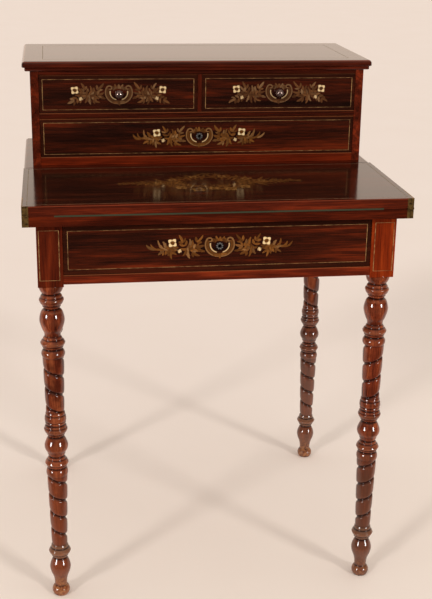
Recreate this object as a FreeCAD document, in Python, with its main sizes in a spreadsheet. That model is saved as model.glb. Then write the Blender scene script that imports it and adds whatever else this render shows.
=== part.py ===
import FreeCAD, Part
import math
import os
import re
import Sketcher
from FreeCAD import Placement, Rotation, Vector

# A bonheur du jour: a small writing desk on four turned legs. Its top is two leaves, and the upper one
# folds over to the front on hinges at the front corners. A low case of three drawers stands at the back,
# and a frieze drawer below the leaves carries the flap when it is open.
# Millimetres. X runs to the right, Y to the back and Z up. The origin is on the floor, under the middle.

# Every size that can be set by itself: its name, its value and what it measures.
SIZES = [
    ("top_width", 653.0, "width of both leaves"),
    ("top_depth", 570.0, "depth of the lower leaf, front to back"),
    ("writing_height", 729.0, "height of the opened writing surface"),
    ("leaf_thickness", 17.5, "thickness of each leaf"),
    ("flap_depth", 283.0, "depth of the folding leaf"),
    ("flap_gap", 1.0, "gap between the flap and the fixed ledge behind it"),
    ("baize_margin", 52.0, "wood border round the baize"),
    ("baize_thickness", 1.2, "thickness of the baize"),
    ("baize_sink", 0.1, "how far the baize lies below the wood"),
    ("front_overhang", 21.0, "leaf beyond the leg blocks at the front"),
    ("side_overhang", 21.5, "leaf beyond the leg blocks at each side"),
    ("back_overhang", 4.0, "leaf beyond the leg blocks at the back"),
    ("block_side", 43.0, "side of the square leg block"),
    ("block_drop", 4.5, "leg block below the front rail"),
    ("frieze_height", 105.8, "height of the frieze under the leaf"),
    ("rail_height", 16.0, "height of the rail under the frieze drawer"),
    ("apron_thickness", 18.0, "thickness of the side and rear aprons"),
    ("apron_setback", 2.0, "aprons behind the faces of the blocks"),
    ("tenon_length", 18.0, "length of the tenons in the blocks"),
    ("tenon_thickness", 7.0, "thickness of the apron tenons"),
    ("tenon_shoulder", 10.0, "shoulder above and below an apron tenon"),
    ("rail_shoulder", 3.5, "shoulder above and below the rail tenon"),
    ("rail_tenon_width", 21.5, "width of the rail tenon, front to back"),
    ("runner_reach", 32.0, "runner inside the face of the blocks"),
    ("runner_thickness", 12.0, "thickness of the drawer runners"),
    ("guide_height", 26.0, "height of the drawer guides"),
    ("drawer_gap", 0.6, "gap round a drawer front"),
    ("drawer_play", 0.3, "gap under a drawer side"),
    ("front_recess", 0.8, "drawer fronts behind the frame"),
    ("lap_cover", 7.0, "wood of a drawer front in front of its sides"),
    ("side_drop", 3.0, "drawer sides below the top of the front"),
    ("bottom_lift", 6.0, "drawer bottom above the edge of the sides"),
    ("bottom_thickness", 5.0, "thickness of a drawer bottom"),
    ("groove_depth", 4.0, "depth of the groove that holds a drawer bottom"),
    ("back_thickness", 8.0, "thickness of a drawer back"),
    ("stop_height", 3.5, "height of a drawer stop"),
    ("stop_length", 16.0, "length of a drawer stop, front to back"),
    ("stop_width", 30.0, "width of a drawer stop"),
    ("stop_inset", 60.0, "stop inside the end of its drawer front"),
    ("stop_gap", 0.3, "gap between a drawer front and its stop"),
    ("frieze_drawer_room", 44.2, "room behind the frieze drawer"),
    ("frieze_front_thickness", 20.0, "thickness of the frieze drawer front"),
    ("frieze_side_thickness", 10.0, "thickness of the frieze drawer sides"),
    ("frieze_top_gap", 2.4, "gap between the frieze drawer and the leaf"),
    ("case_side_inset", 17.0, "case sides inside the ends of the leaf"),
    ("ledge_show", 18.6, "ledge in front of the case"),
    ("case_back_gap", 2.0, "back of the case inside the back of the leaf"),
    ("case_side_thickness", 15.0, "thickness of the case sides"),
    ("case_bottom_thickness", 10.0, "thickness of the case bottom"),
    ("case_rail_depth", 30.0, "depth of the rails, front to back"),
    ("housing_depth", 4.0, "depth of the housings in the case sides"),
    ("base_rail_height", 15.5, "height of the base rail"),
    ("long_front_height", 70.0, "height of the long drawer front"),
    ("mid_rail_height", 10.0, "height of the rail between the drawers"),
    ("dust_board_thickness", 6.0, "thickness of the board between the drawers"),
    ("small_front_height", 68.3, "height of the small drawer fronts"),
    ("top_rail_height", 14.0, "height of the top rail"),
    ("divider_thickness", 8.0, "thickness of the divider"),
    ("case_back_thickness", 8.0, "thickness of the case back"),
    ("back_rebate", 7.0, "width of the rebate that holds the case back"),
    ("upper_drawer_room", 20.6, "room behind the case drawers"),
    ("upper_front_thickness", 15.0, "thickness of the case drawer fronts"),
    ("upper_side_thickness", 8.0, "thickness of the case drawer sides"),
    ("top_board_thickness", 11.0, "thickness of the case top"),
    ("top_side_overhang", 14.0, "case top beyond the case sides"),
    ("top_front_overhang", 9.0, "case top beyond the case front"),
    ("top_corner_round", 7.0, "rounding of the corners of the case top"),
    ("top_upper_round", 6.5, "rounding of the upper edge of the case top"),
    ("top_lower_round", 1.2, "rounding of the lower edge of the case top"),
    ("cornice_height", 7.0, "height of the moulding under the case top"),
    ("cornice_step", 5.0, "moulding behind the edge of the case top"),
    ("cornice_round", 2.5, "rounding of the moulding"),
    ("plate_thickness", 2.0, "thickness of the hinge plates"),
    ("plate_front", 11.0, "hinge plate along the front edge"),
    ("plate_side", 60.0, "hinge plate along the side edge"),
    ("knuckle_radius", 2.0, "radius of the hinge knuckles"),
    ("knuckle_clearance", 0.3, "room round a hinge knuckle"),
    ("pin_radius", 1.0, "radius of the hinge pins"),
    ("pin_clearance", 0.05, "running clearance round a pin"),
    ("pin_end", 0.5, "hinge pin inside the outer face of its knuckle"),
    ("hinge_setoff", 0.15, "hinge axis in front of the leaves"),
    ("screw_head_radius", 3.0, "radius of a screw head"),
    ("screw_head_depth", 1.5, "depth of a screw head"),
    ("screw_radius", 1.5, "radius of a screw"),
    ("screw_length", 14.0, "length of a screw"),
    ("screw_first", 20.0, "first screw behind the front of the leaf"),
    ("screw_spacing", 26.0, "distance between screws"),
    ("lock_width", 40.0, "width of a lock case"),
    ("lock_depth", 9.0, "depth of a lock case"),
    ("lock_wall", 2.0, "back wall of a lock case"),
    ("lock_below_key", 14.0, "lock case below the keyhole"),
    ("lock_floor", 3.0, "floor of a lock case"),
    ("bolt_width", 18.0, "width of a lock bolt"),
    ("bolt_thickness", 4.0, "thickness of a lock bolt"),
    ("bolt_play", 0.3, "room round a lock bolt"),
    ("bolt_sink", 0.5, "drawn bolt below the edge of the drawer front"),
    ("bolt_throw", 6.0, "travel of a lock bolt"),
    ("bolt_above_key", 4.5, "lower end of the bolt above the keyhole"),
    ("mortise_room", 1.0, "room round a thrown bolt in its mortise"),
    ("keyhole_radius", 2.2, "radius of a keyhole"),
    ("keyhole_slot", 2.0, "width of the slot of a keyhole"),
    ("keyhole_drop", 8.0, "length of the slot of a keyhole"),
    ("escutcheon_radius", 6.5, "radius of a keyhole plate"),
    ("escutcheon_thickness", 2.0, "thickness of a keyhole plate"),
    ("escutcheon_proud", 0.4, "keyhole plate in front of the wood"),
    ("knob_radius", 6.4, "radius of a knob"),
    ("knob_reach", 9.5, "centre of a knob in front of its drawer"),
    ("knob_neck_radius", 3.0, "radius of the neck of a knob"),
    ("rose_radius", 7.6, "radius of the rose behind a knob"),
    ("rose_thickness", 1.4, "thickness of the rose behind a knob"),
    ("shank_radius", 2.2, "radius of the shank of a knob"),
    ("shank_length", 11.0, "shank of a knob in its drawer front"),
    ("cup_step", 0.5, "turned cup inside the faces of the leg block"),
    ("cup_height", 16.0, "height of the cup under the block"),
    ("cup_neck", 29.0, "neck under the cup, across"),
    ("bead_height", 27.0, "height of the upper bead"),
    ("bead_width", 42.6, "upper bead, across"),
    ("bead_neck", 25.5, "neck under the upper bead, across"),
    ("vase_height", 49.3, "height of the vase"),
    ("vase_width", 43.2, "vase, across"),
    ("vase_neck", 27.6, "neck under the vase, across"),
    ("shoulder_height", 23.2, "height of the shoulder bead"),
    ("shoulder_width", 42.9, "shoulder bead, across"),
    ("shoulder_neck", 31.8, "neck under the shoulder bead, across"),
    ("crown_height", 14.5, "height of the collar over the upper twist"),
    ("crown_width", 40.5, "collar over the upper twist, across"),
    ("upper_twist_top", 37.6, "top of the upper twist, across"),
    ("upper_twist_share", 0.4255, "upper twist's share of the length left for both twists"),
    ("upper_twist_end", 32.4, "lower end of the upper twist, across"),
    ("belt_height", 24.0, "height of the collar under the upper twist"),
    ("belt_width", 38.1, "collar under the upper twist, across"),
    ("belt_neck", 33.4, "neck under that collar, across"),
    ("ring_height", 23.0, "height of the middle ring"),
    ("ring_width", 41.4, "middle ring, across"),
    ("ring_neck", 26.6, "neck under the middle ring, across"),
    ("ball_height", 38.5, "height of the middle ball"),
    ("ball_width", 41.4, "middle ball, across"),
    ("ball_neck", 26.2, "neck under the middle ball, across"),
    ("knee_height", 21.7, "height of the ring under the ball"),
    ("knee_width", 41.6, "ring under the ball, across"),
    ("knee_neck", 32.0, "neck under that ring, across"),
    ("cuff_height", 15.3, "height of the collar over the lower twist"),
    ("cuff_width", 38.3, "collar over the lower twist, across"),
    ("lower_twist_top", 36.4, "top of the lower twist, across"),
    ("lower_twist_end", 28.4, "lower end of the lower twist, across"),
    ("ankle_height", 27.5, "height of the ankle ring"),
    ("ankle_width", 39.8, "ankle ring, across"),
    ("ankle_neck", 24.8, "neck under the ankle ring, across"),
    ("drop_height", 57.5, "height of the drop over the foot"),
    ("drop_width", 37.8, "drop over the foot, across"),
    ("drop_neck", 22.2, "neck under the drop, across"),
    ("foot_height", 20.0, "height of the ball foot"),
    ("foot_width", 32.0, "ball foot, across"),
    ("foot_sole", 25.0, "flat sole of the foot, across"),
    ("groove_radius", 3.2, "radius of the twist groove"),
    ("groove_offset", 0.4, "centre of the groove outside the surface"),
    ("upper_pitch", 34.8, "pitch of the upper twist"),
    ("upper_turn", 225.0, "turn of the upper groove round the leg, in degrees"),
    ("lower_pitch", 34.8, "pitch of the lower twist"),
    ("lower_turn", 0.0, "turn of the lower groove round the leg, in degrees"),
]

# Places that follow from the sizes. Each may use the ones before it.
PLACES = [
    ("hinge_reach", "knuckle_radius + hinge_setoff"),
    ("front_edge", "(hinge_reach - top_depth) / 2"),
    ("back_edge", "front_edge + top_depth"),
    ("leaf_half", "top_width / 2"),
    ("frieze_top", "writing_height - leaf_thickness"),
    ("leaf_top", "writing_height + leaf_thickness"),
    ("hinge_line", "front_edge - hinge_setoff"),
    ("ledge_front", "front_edge + flap_depth + flap_gap"),
    ("frieze_front", "front_edge + front_overhang"),
    ("frieze_back", "back_edge - back_overhang"),
    ("block_outer", "leaf_half - side_overhang"),
    ("block_inner", "block_outer - block_side"),
    ("block_rear", "frieze_front + block_side"),
    ("rear_block_front", "frieze_back - block_side"),
    ("leg_across", "block_outer - block_side / 2"),
    ("leg_front", "frieze_front + block_side / 2"),
    ("leg_back", "frieze_back - block_side / 2"),
    ("rail_low", "frieze_top - frieze_height"),
    ("rail_high", "rail_low + rail_height"),
    ("block_low", "rail_low - block_drop"),
    ("apron_outer", "block_outer - apron_setback"),
    ("apron_inner", "apron_outer - apron_thickness"),
    ("rear_apron_back", "frieze_back - apron_setback"),
    ("rear_apron_front", "rear_apron_back - apron_thickness"),
    ("frieze_low", "rail_high + drawer_gap"),
    ("frieze_high", "frieze_top - frieze_top_gap"),
    ("case_half", "leaf_half - case_side_inset"),
    ("case_inner", "case_half - case_side_thickness"),
    ("case_front", "ledge_front + ledge_show"),
    ("case_rear", "back_edge - case_back_gap"),
    ("case_back_front", "case_rear - case_back_thickness"),
    ("rail_rear", "case_front + case_rail_depth"),
    ("base_high", "leaf_top + base_rail_height"),
    ("long_low", "base_high + drawer_gap"),
    ("long_high", "long_low + long_front_height"),
    ("mid_low", "long_high + drawer_gap"),
    ("mid_high", "mid_low + mid_rail_height"),
    ("small_low", "mid_high + drawer_gap"),
    ("small_high", "small_low + small_front_height"),
    ("top_rail_low", "small_high + drawer_gap"),
    ("case_high", "top_rail_low + top_rail_height"),
    ("cornice_low", "case_high - cornice_height"),
    ("divider_half", "divider_thickness / 2"),
    ("small_middle", "(case_inner + divider_half) / 2"),
]

doc = FreeCAD.newDocument("bonheur_du_jour")
sizes_sheet = doc.addObject("Spreadsheet::Sheet", "Sizes")
for row, (alias, number, words) in enumerate(SIZES, start=1):
    sizes_sheet.set(f"A{row}", words)
    sizes_sheet.set(f"B{row}", str(number))
    sizes_sheet.setAlias(f"B{row}", alias)

SHEET_OF = {alias: "Sizes" for alias, number, words in SIZES}
SHEET_OF.update({alias: "Places" for alias, formula in PLACES})


def bound(text):
    """Writes the sheet's name before each size or place in an expression."""
    return re.sub(r"[a-z_]+", lambda word: f"{SHEET_OF[word.group()]}.{word.group()}", text)


places_sheet = doc.addObject("Spreadsheet::Sheet", "Places")
for row, (alias, formula) in enumerate(PLACES, start=1):
    own_formula = bound(formula).replace("Places.", "")
    places_sheet.set(f"A{row}", alias)
    places_sheet.set(f"B{row}", f"={own_formula}")
    places_sheet.setAlias(f"B{row}", alias)
doc.recompute()

sub_parts = []


def value(alias):
    """The number that a size or place has now."""
    return float(getattr(doc.getObject(SHEET_OF[alias]), alias))


def keep(piece, label):
    """Gives a finished sub-part its name and lists it for writing."""
    piece.Label = label
    sub_parts.append(piece)
    return piece


def place(piece, x, y, z):
    """Ties the place of a piece to three expressions."""
    for axis, text in zip("xyz", (x, y, z)):
        piece.setExpression(f"Placement.Base.{axis}", bound(text))
    return piece


def box(name, x, y, z):
    """A straight piece between two places on each axis."""
    piece = doc.addObject("Part::Box", name)
    for side, (low, high) in zip(("Length", "Width", "Height"), (x, y, z)):
        piece.setExpression(side, bound(f"({high}) - ({low})"))
    return place(piece, x[0], y[0], z[0])


TURNED = {
    "+x": Rotation(Vector(0, 1, 0), 90),
    "-x": Rotation(Vector(0, 1, 0), -90),
    "+y": Rotation(Vector(1, 0, 0), -90),
    "-y": Rotation(Vector(1, 0, 0), 90),
}


def rod(name, radius, length, start, way):
    """A round piece that runs from a start, along one way."""
    piece = doc.addObject("Part::Cylinder", name)
    piece.Placement = Placement(Vector(), TURNED[way])
    piece.setExpression("Radius", bound(radius))
    piece.setExpression("Height", bound(length))
    return place(piece, *start)


def taper(name, radius, end_radius, length, start, way):
    """A round piece that narrows from a start, along one way."""
    piece = doc.addObject("Part::Cone", name)
    piece.Placement = Placement(Vector(), TURNED[way])
    piece.setExpression("Radius1", bound(radius))
    piece.setExpression("Radius2", bound(end_radius))
    piece.setExpression("Height", bound(length))
    return place(piece, *start)


def joined(name, *pieces):
    """Several shapes as one."""
    whole = doc.addObject("Part::MultiFuse", name)
    whole.Shapes = list(pieces)
    return whole


def cut(name, base, *tools):
    """A piece with other shapes taken out of it."""
    piece = doc.addObject("Part::Cut", name)
    piece.Base = base
    piece.Tool = tools[0] if len(tools) == 1 else joined(f"{name}_cutter", *tools)
    return piece


def group(name, *pieces):
    """Like pieces that share one node."""
    whole = doc.addObject("Part::Compound", name)
    whole.Links = list(pieces)
    return whole


def on_side(sign, inner, outer):
    """The span between two distances from the middle, on the right (+1) or the left (-1)."""
    return (inner, outer) if sign > 0 else (f"-({outer})", f"-({inner})")


SIDES = (("left", -1), ("right", 1))
# Two places closer than this are the same place.
NEAR = 1e-4


# The legs
def arc_edge(start, through, end):
    """A round stretch of a turned outline. Points are a radius and a height."""
    return Part.Arc(*(Vector(radius, 0, height) for radius, height in (start, through, end))).toShape()


def curve_edge(*points):
    """A flowing stretch of a turned outline."""
    curve = Part.BSplineCurve()
    curve.interpolate([Vector(radius, 0, height) for radius, height in points])
    return curve.toShape()


def line_edge(start, end):
    """A straight stretch of a turned outline."""
    return Part.LineSegment(*(Vector(radius, 0, height) for radius, height in (start, end))).toShape()


def between(start, end, out, down):
    """The point that is so far out and so far down on the way between two others."""
    return (start[0] + (end[0] - start[0]) * out, start[1] + (end[1] - start[1]) * down)


def bead(top, end, width):
    """A plain round member."""
    return [arc_edge(top, (width / 2, (top[1] + end[1]) / 2), end)]


def ridge(top, end, width, shape):
    """A member that rises to an edge and falls from it, each side more or less full."""
    down, upper_fullness, lower_fullness = shape
    peak = (width / 2, top[1] + (end[1] - top[1]) * down)
    upper = arc_edge(top, between(top, peak, upper_fullness, 0.5), peak)
    return [upper, arc_edge(peak, between(end, peak, lower_fullness, 0.5), end)]


def swell(top, end, width, shape):
    """A full, flowing member between two necks."""
    points = [top]
    for down, out in shape:
        neck = top[0] + (end[0] - top[0]) * down
        points.append((neck + (width / 2 - neck) * out, top[1] + (end[1] - top[1]) * down))
    return [curve_edge(*points, end)]


# How far in and how far down the cup's outline has come at its middle.
CUP_SHAPE = (0.25, 0.6)
# A ridge: how far down its edge is, and how full it is above and below (a half is straight).
TOP_RIDGE = (0.42, 0.7, 0.62)
SHOULDER_RIDGE = (0.51, 0.54, 0.66)
FLARE = (0.62, 0.72, 0.8)
FULL_RIDGE = (0.41, 0.76, 0.63)
KNEE_RIDGE = (0.59, 0.62, 0.62)
ANKLE_RIDGE = (0.5, 0.44, 0.63)
# A swell: places down its height and how far it has swelled by there.
VASE = ((0.11, 0.62), (0.415, 1.0), (0.72, 0.55), (0.88, 0.1))
BALL = ((0.1, 0.36), (0.22, 0.66), (0.43, 1.0), (0.62, 0.9), (0.78, 0.48), (0.9, 0.3))
DROP = ((0.11, 0.46), (0.22, 0.82), (0.35, 1.0), (0.5, 0.8), (0.68, 0.29), (0.82, 0.05))

# The members of a leg from the block to the floor: how each is turned, its shape, and the sizes of its
# height, its widest place and its lower end. The two twists share the length that the others leave.
MEMBERS = [
    ("ridge", TOP_RIDGE, "bead_height", "bead_width", "bead_neck"),
    ("swell", VASE, "vase_height", "vase_width", "vase_neck"),
    ("ridge", SHOULDER_RIDGE, "shoulder_height", "shoulder_width", "shoulder_neck"),
    ("bead", None, "crown_height", "crown_width", "upper_twist_top"),
    ("twist", ("upper_pitch", "upper_turn"), None, None, "upper_twist_end"),
    ("ridge", FLARE, "belt_height", "belt_width", "belt_neck"),
    ("ridge", FULL_RIDGE, "ring_height", "ring_width", "ring_neck"),
    ("swell", BALL, "ball_height", "ball_width", "ball_neck"),
    ("ridge", KNEE_RIDGE, "knee_height", "knee_width", "knee_neck"),
    ("bead", None, "cuff_height", "cuff_width", "lower_twist_top"),
    ("twist", ("lower_pitch", "lower_turn"), None, None, "lower_twist_end"),
    ("ridge", ANKLE_RIDGE, "ankle_height", "ankle_width", "ankle_neck"),
    ("swell", DROP, "drop_height", "drop_width", "drop_neck"),
    ("bead", None, "foot_height", "foot_width", "foot_sole"),
]


def twist_groove(top, end, pitch, turn):
    """The round-bottomed groove that winds round one tapered length of a leg, from a turn at its end."""
    length = top[1] - end[1]
    lean = math.degrees(math.atan2(top[0] - end[0], length))
    offset = value("groove_offset")
    helix = Part.makeHelix(pitch, length, end[0] + offset, lean)
    first = helix.Edges[0]
    start = first.valueAt(first.FirstParameter)
    along = first.tangentAt(first.FirstParameter)
    section = Part.Wire(Part.makeCircle(value("groove_radius"), start, along))
    groove = Part.Wire(helix.Edges).makePipeShell([section], True, True)
    groove.rotate(Vector(), Vector(0, 0, 1), turn)
    groove.translate(Vector(0, 0, end[1]))
    sleeve = Part.makeCylinder(top[0] + value("groove_radius") * 2, length, Vector(0, 0, end[1]))
    return groove.common(sleeve)


def twist_lengths():
    """The length of each twist: what the other members leave, in its share."""
    given = sum(value(height) for kind, shape, height, width, low in MEMBERS if height)
    left = value("block_low") - value("cup_height") - given
    upper = left * value("upper_twist_share")
    return {"upper_twist_end": upper, "lower_twist_end": left - upper}


def turned_leg():
    """One leg with its block, standing on the origin, its grooves rising to the right."""
    block_low = value("block_low")
    here = (value("block_side") / 2 - value("cup_step"), block_low)
    outline = [line_edge((0, block_low), here)]
    neck = (value("cup_neck") / 2, block_low - value("cup_height"))
    outline.append(arc_edge(here, between(here, neck, *CUP_SHAPE), neck))
    here = neck
    grooves = []
    for kind, shape, height, width, low in MEMBERS:
        drop = twist_lengths()[low] if kind == "twist" else value(height)
        end = (value(low) / 2, here[1] - drop)
        if kind == "twist":
            outline.append(line_edge(here, end))
            grooves.append(twist_groove(here, end, *(value(alias) for alias in shape)))
        elif kind == "bead":
            outline += bead(here, end, value(width))
        elif kind == "ridge":
            outline += ridge(here, end, value(width), shape)
        else:
            outline += swell(here, end, value(width), shape)
        here = end
    outline.append(line_edge(here, (0, here[1])))
    outline.append(line_edge((0, here[1]), (0, block_low)))
    turning = Part.Face(Part.Wire(outline)).revolve(Vector(), Vector(0, 0, 1), 360)
    side = value("block_side")
    block = Part.makeBox(side, side, value("frieze_top") - block_low, Vector(-side / 2, -side / 2, block_low))
    for groove in grooves:
        turning = turning.cut(groove)
    return turning.fuse(block).removeSplitter()


leg_shape = turned_leg()
mirrored_leg_shape = leg_shape.mirror(Vector(), Vector(1, 0, 0))


TENON_HEIGHTS = ("rail_low + tenon_shoulder", "frieze_top - tenon_shoulder")
TENON_HALF = "tenon_thickness / 2"
SIDE_APRON_MIDDLE = "(apron_outer + apron_inner) / 2"
REAR_APRON_MIDDLE = "(rear_apron_back + rear_apron_front) / 2"


def side_apron_tenon(name, sign):
    """The two end tenons of a side apron as one long tongue, which also cuts their mortises."""
    across = on_side(sign, f"{SIDE_APRON_MIDDLE} - {TENON_HALF}", f"{SIDE_APRON_MIDDLE} + {TENON_HALF}")
    along = ("block_rear - tenon_length", "rear_block_front + tenon_length")
    return box(name, across, along, TENON_HEIGHTS)


side_tenons = {side: side_apron_tenon(f"side_tongue_{side}", sign) for side, sign in SIDES}
rear_tongue = box(
    "rear_tongue",
    ("-block_inner - tenon_length", "block_inner + tenon_length"),
    (f"{REAR_APRON_MIDDLE} - {TENON_HALF}", f"{REAR_APRON_MIDDLE} + {TENON_HALF}"),
    TENON_HEIGHTS,
)
rail_tongue = box(
    "rail_tongue",
    ("-block_inner - tenon_length", "block_inner + tenon_length"),
    ("leg_front - rail_tenon_width / 2", "leg_front + rail_tenon_width / 2"),
    ("rail_low + rail_shoulder", "rail_high - rail_shoulder"),
)

for end, leg_place, other_tongue in (("front", "leg_front", rail_tongue), ("rear", "leg_back", rear_tongue)):
    for side, sign in SIDES:
        name = f"leg_{end}_{side}"
        blank = doc.addObject("Part::Feature", f"{name}_blank")
        left_handed = (end == "front") == (side == "left")
        blank.Shape = mirrored_leg_shape if left_handed else leg_shape
        place(blank, f"{sign} * leg_across", leg_place, "0")
        keep(cut(name, blank, side_tenons[side], other_tongue), name)

# The aprons, the front rail and the drawer runners
for side, sign in SIDES:
    board = box(
        f"apron_board_{side}",
        on_side(sign, "apron_inner", "apron_outer"),
        ("block_rear", "rear_block_front"),
        ("rail_low", "frieze_top"),
    )
    keep(joined(f"side_apron_{side}", board, side_tenons[side]), f"side_apron_{side}")
rear_board = box(
    "rear_apron_board",
    ("-block_inner", "block_inner"),
    ("rear_apron_front", "rear_apron_back"),
    ("rail_low", "frieze_top"),
)
keep(joined("rear_apron", rear_board, rear_tongue), "rear_apron")
rail_board = box(
    "rail_board",
    ("-block_inner", "block_inner"),
    ("frieze_front", "block_rear"),
    ("rail_low", "rail_high"),
)
keep(joined("front_rail", rail_board, rail_tongue), "front_rail")
for side, sign in SIDES:
    runner = box(
        f"runner_{side}",
        on_side(sign, "block_inner - runner_reach", "apron_inner"),
        ("block_rear", "rear_block_front"),
        ("rail_high - runner_thickness", "rail_high"),
    )
    guide = box(
        f"guide_{side}",
        on_side(sign, "block_inner", "apron_inner"),
        ("block_rear", "rear_block_front"),
        ("rail_high", "rail_high + guide_height"),
    )
    keep(joined(f"drawer_runner_{side}", runner, guide), f"drawer_runner_{side}")


# The hinges at the front corners of the leaves
def hinge_screws(name, height):
    """The countersunk screws of one leaf's two hinge plates."""
    screws = []
    for side, sign in SIDES:
        way = "-x" if sign > 0 else "+x"
        for number in range(2):
            start = (f"{sign} * leaf_half", f"front_edge + screw_first + {number} * screw_spacing", height)
            head = taper(f"{name}_head", "screw_head_radius", "screw_radius", "screw_head_depth", start, way)
            shank = rod(f"{name}_shank", "screw_radius", "screw_length", start, way)
            screws.append(joined(f"{name}_screw", head, shank))
    return screws


def hinge_axis_rod(name, radius, sign, inner, outer):
    """A round shape along the hinge axis, between two distances in from the side of the leaf."""
    across = on_side(sign, f"leaf_half - ({inner})", f"leaf_half - ({outer})")
    return rod(name, radius, f"({inner}) - ({outer})", (across[0], "hinge_line", "writing_height"), "+x")


LOWER_KNUCKLE = ("plate_front / 2", "0")
FLAP_KNUCKLE = ("plate_front", "plate_front / 2")
KNUCKLE_ROOM = "knuckle_radius + knuckle_clearance"


def hinge_arms(name, sign, heights):
    """The two arms of a hinge plate: along the front edge and along the side edge of its leaf."""
    front = box(
        f"{name}_front_arm",
        on_side(sign, "leaf_half - plate_front", "leaf_half"),
        ("front_edge", "front_edge + plate_thickness"),
        heights,
    )
    along = box(
        f"{name}_side_arm",
        on_side(sign, "leaf_half - plate_thickness", "leaf_half"),
        ("front_edge", "front_edge + plate_side"),
        heights,
    )
    return joined(f"{name}_arms", front, along)


LEAVES = (
    ("lower", ("frieze_top", "writing_height"), LOWER_KNUCKLE, FLAP_KNUCKLE, "pin_radius"),
    ("flap", ("writing_height", "leaf_top"), FLAP_KNUCKLE, LOWER_KNUCKLE, "pin_radius + pin_clearance"),
)
leaf_cutters = {}
for leaf, heights, own, other, bore in LEAVES:
    screws = hinge_screws(f"{leaf}_hinge", f"({heights[0]} + {heights[1]}) / 2")
    leaf_cutters[leaf] = list(screws)
    for side, sign in SIDES:
        name = f"{leaf}_hinge_{side}"
        arms = hinge_arms(name, sign, heights)
        room = hinge_axis_rod(f"{name}_room", KNUCKLE_ROOM, sign, "plate_front", "0")
        knuckle = hinge_axis_rod(f"{name}_knuckle", "knuckle_radius", sign, *own)
        eye = hinge_axis_rod(f"{name}_eye", bore, sign, *own)
        other_room = hinge_axis_rod(f"{name}_other", KNUCKLE_ROOM, sign, *other)
        cleared = cut(f"{name}_cleared", arms, other_room, *screws)
        keep(cut(name, joined(f"{name}_solid", cleared, knuckle), eye), name)
        leaf_cutters[leaf] += [arms, room]
    keep(group(f"{leaf}_hinge_screws", *screws), f"{leaf}_hinge_screws")
pins = [
    hinge_axis_rod(f"hinge_pin_{side}", "pin_radius", sign, "plate_front - pin_end", "pin_end")
    for side, sign in SIDES
]
keep(group("hinge_pins", *pins), "hinge_pins")

# The two leaves, their baize and the ledge behind the flap
BAIZE_ACROSS = ("baize_margin - leaf_half", "leaf_half - baize_margin")
BAIZE_ALONG = ("front_edge", "front_edge + flap_depth - baize_margin")
BAIZE_DEPTH = "(baize_thickness + baize_sink)"
lower_recess = ("writing_height - " + BAIZE_DEPTH, "writing_height")
flap_recess = ("writing_height", "writing_height + " + BAIZE_DEPTH)
keep(
    box("lower_baize", BAIZE_ACROSS, BAIZE_ALONG, (lower_recess[0], "writing_height - baize_sink")),
    "lower_baize",
)
keep(
    box("flap_baize", BAIZE_ACROSS, BAIZE_ALONG, ("writing_height + baize_sink", flap_recess[1])),
    "flap_baize",
)


# The locks: each bolt rises out of the top edge of its drawer front
class Lock:
    """The places of one lock, from the drawer front that holds it."""

    def __init__(self, name, face, thickness, low, high):
        self.name = name
        self.face = face
        self.inner = f"({face} + {thickness})"
        self.top = high
        self.key = f"({low} + {high}) / 2"
        self.bolt_back = f"{self.inner} - lock_wall - bolt_play"
        self.bolt_front = f"{self.bolt_back} - bolt_thickness"

    def case_box(self):
        return box(
            f"{self.name}_lock_body",
            ("-lock_width / 2", "lock_width / 2"),
            (f"{self.inner} - lock_depth", self.inner),
            (f"{self.key} - lock_below_key", self.top),
        )

    def chamber(self):
        return box(
            f"{self.name}_lock_chamber",
            ("-bolt_width / 2 - bolt_play", "bolt_width / 2 + bolt_play"),
            (f"{self.bolt_front} - bolt_play", f"{self.bolt_back} + bolt_play"),
            (f"{self.key} - lock_below_key + lock_floor", f"{self.top} + bolt_throw"),
        )

    def bolt(self):
        return box(
            f"{self.name}_lock_bolt",
            ("-bolt_width / 2", "bolt_width / 2"),
            (self.bolt_front, self.bolt_back),
            (f"{self.key} + bolt_above_key", f"{self.top} - bolt_sink"),
        )

    def mortise(self, seat):
        """The slot above the closed drawer, from the face that the bolt enters."""
        return box(
            f"{self.name}_lock_mortise",
            ("-bolt_width / 2 - mortise_room", "bolt_width / 2 + mortise_room"),
            (f"{self.bolt_front} - mortise_room", f"{self.bolt_back} + mortise_room"),
            (seat, f"{self.top} - bolt_sink + bolt_throw + mortise_room"),
        )

    def keyhole(self):
        start = f"{self.face} - escutcheon_proud"
        end = f"{self.bolt_front} + bolt_thickness / 2"
        length = f"{end} - ({start})"
        way_in = rod(f"{self.name}_key_bore", "keyhole_radius", length, ("0", start, self.key), "+y")
        slot = box(
            f"{self.name}_key_slot",
            ("-keyhole_slot / 2", "keyhole_slot / 2"),
            (start, end),
            (f"{self.key} - keyhole_drop", self.key),
        )
        return joined(f"{self.name}_keyhole", way_in, slot)

    def plate(self):
        start = ("0", f"{self.face} - escutcheon_proud", self.key)
        return rod(f"{self.name}_plate", "escutcheon_radius", "escutcheon_thickness", start, "+y")

    def pieces(self):
        """Adds the lock's own pieces and gives back what its drawer front loses to them."""
        keyhole = self.keyhole()
        plate = self.plate()
        body = self.case_box()
        case_name = f"{self.name}_lock_case"
        keep(cut(case_name, body, self.chamber(), keyhole), case_name)
        keep(self.bolt(), f"{self.name}_lock_bolt")
        keep(cut(f"{self.name}_escutcheon", plate, keyhole), f"{self.name}_escutcheon")
        return [body, keyhole, plate]


FRIEZE_FACE = "(frieze_front + front_recess)"
CASE_FACE = "(case_front + front_recess)"
frieze_lock = Lock("frieze", FRIEZE_FACE, "frieze_front_thickness", "frieze_low", "frieze_high")
long_lock = Lock("long", CASE_FACE, "upper_front_thickness", "long_low", "long_high")

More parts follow.
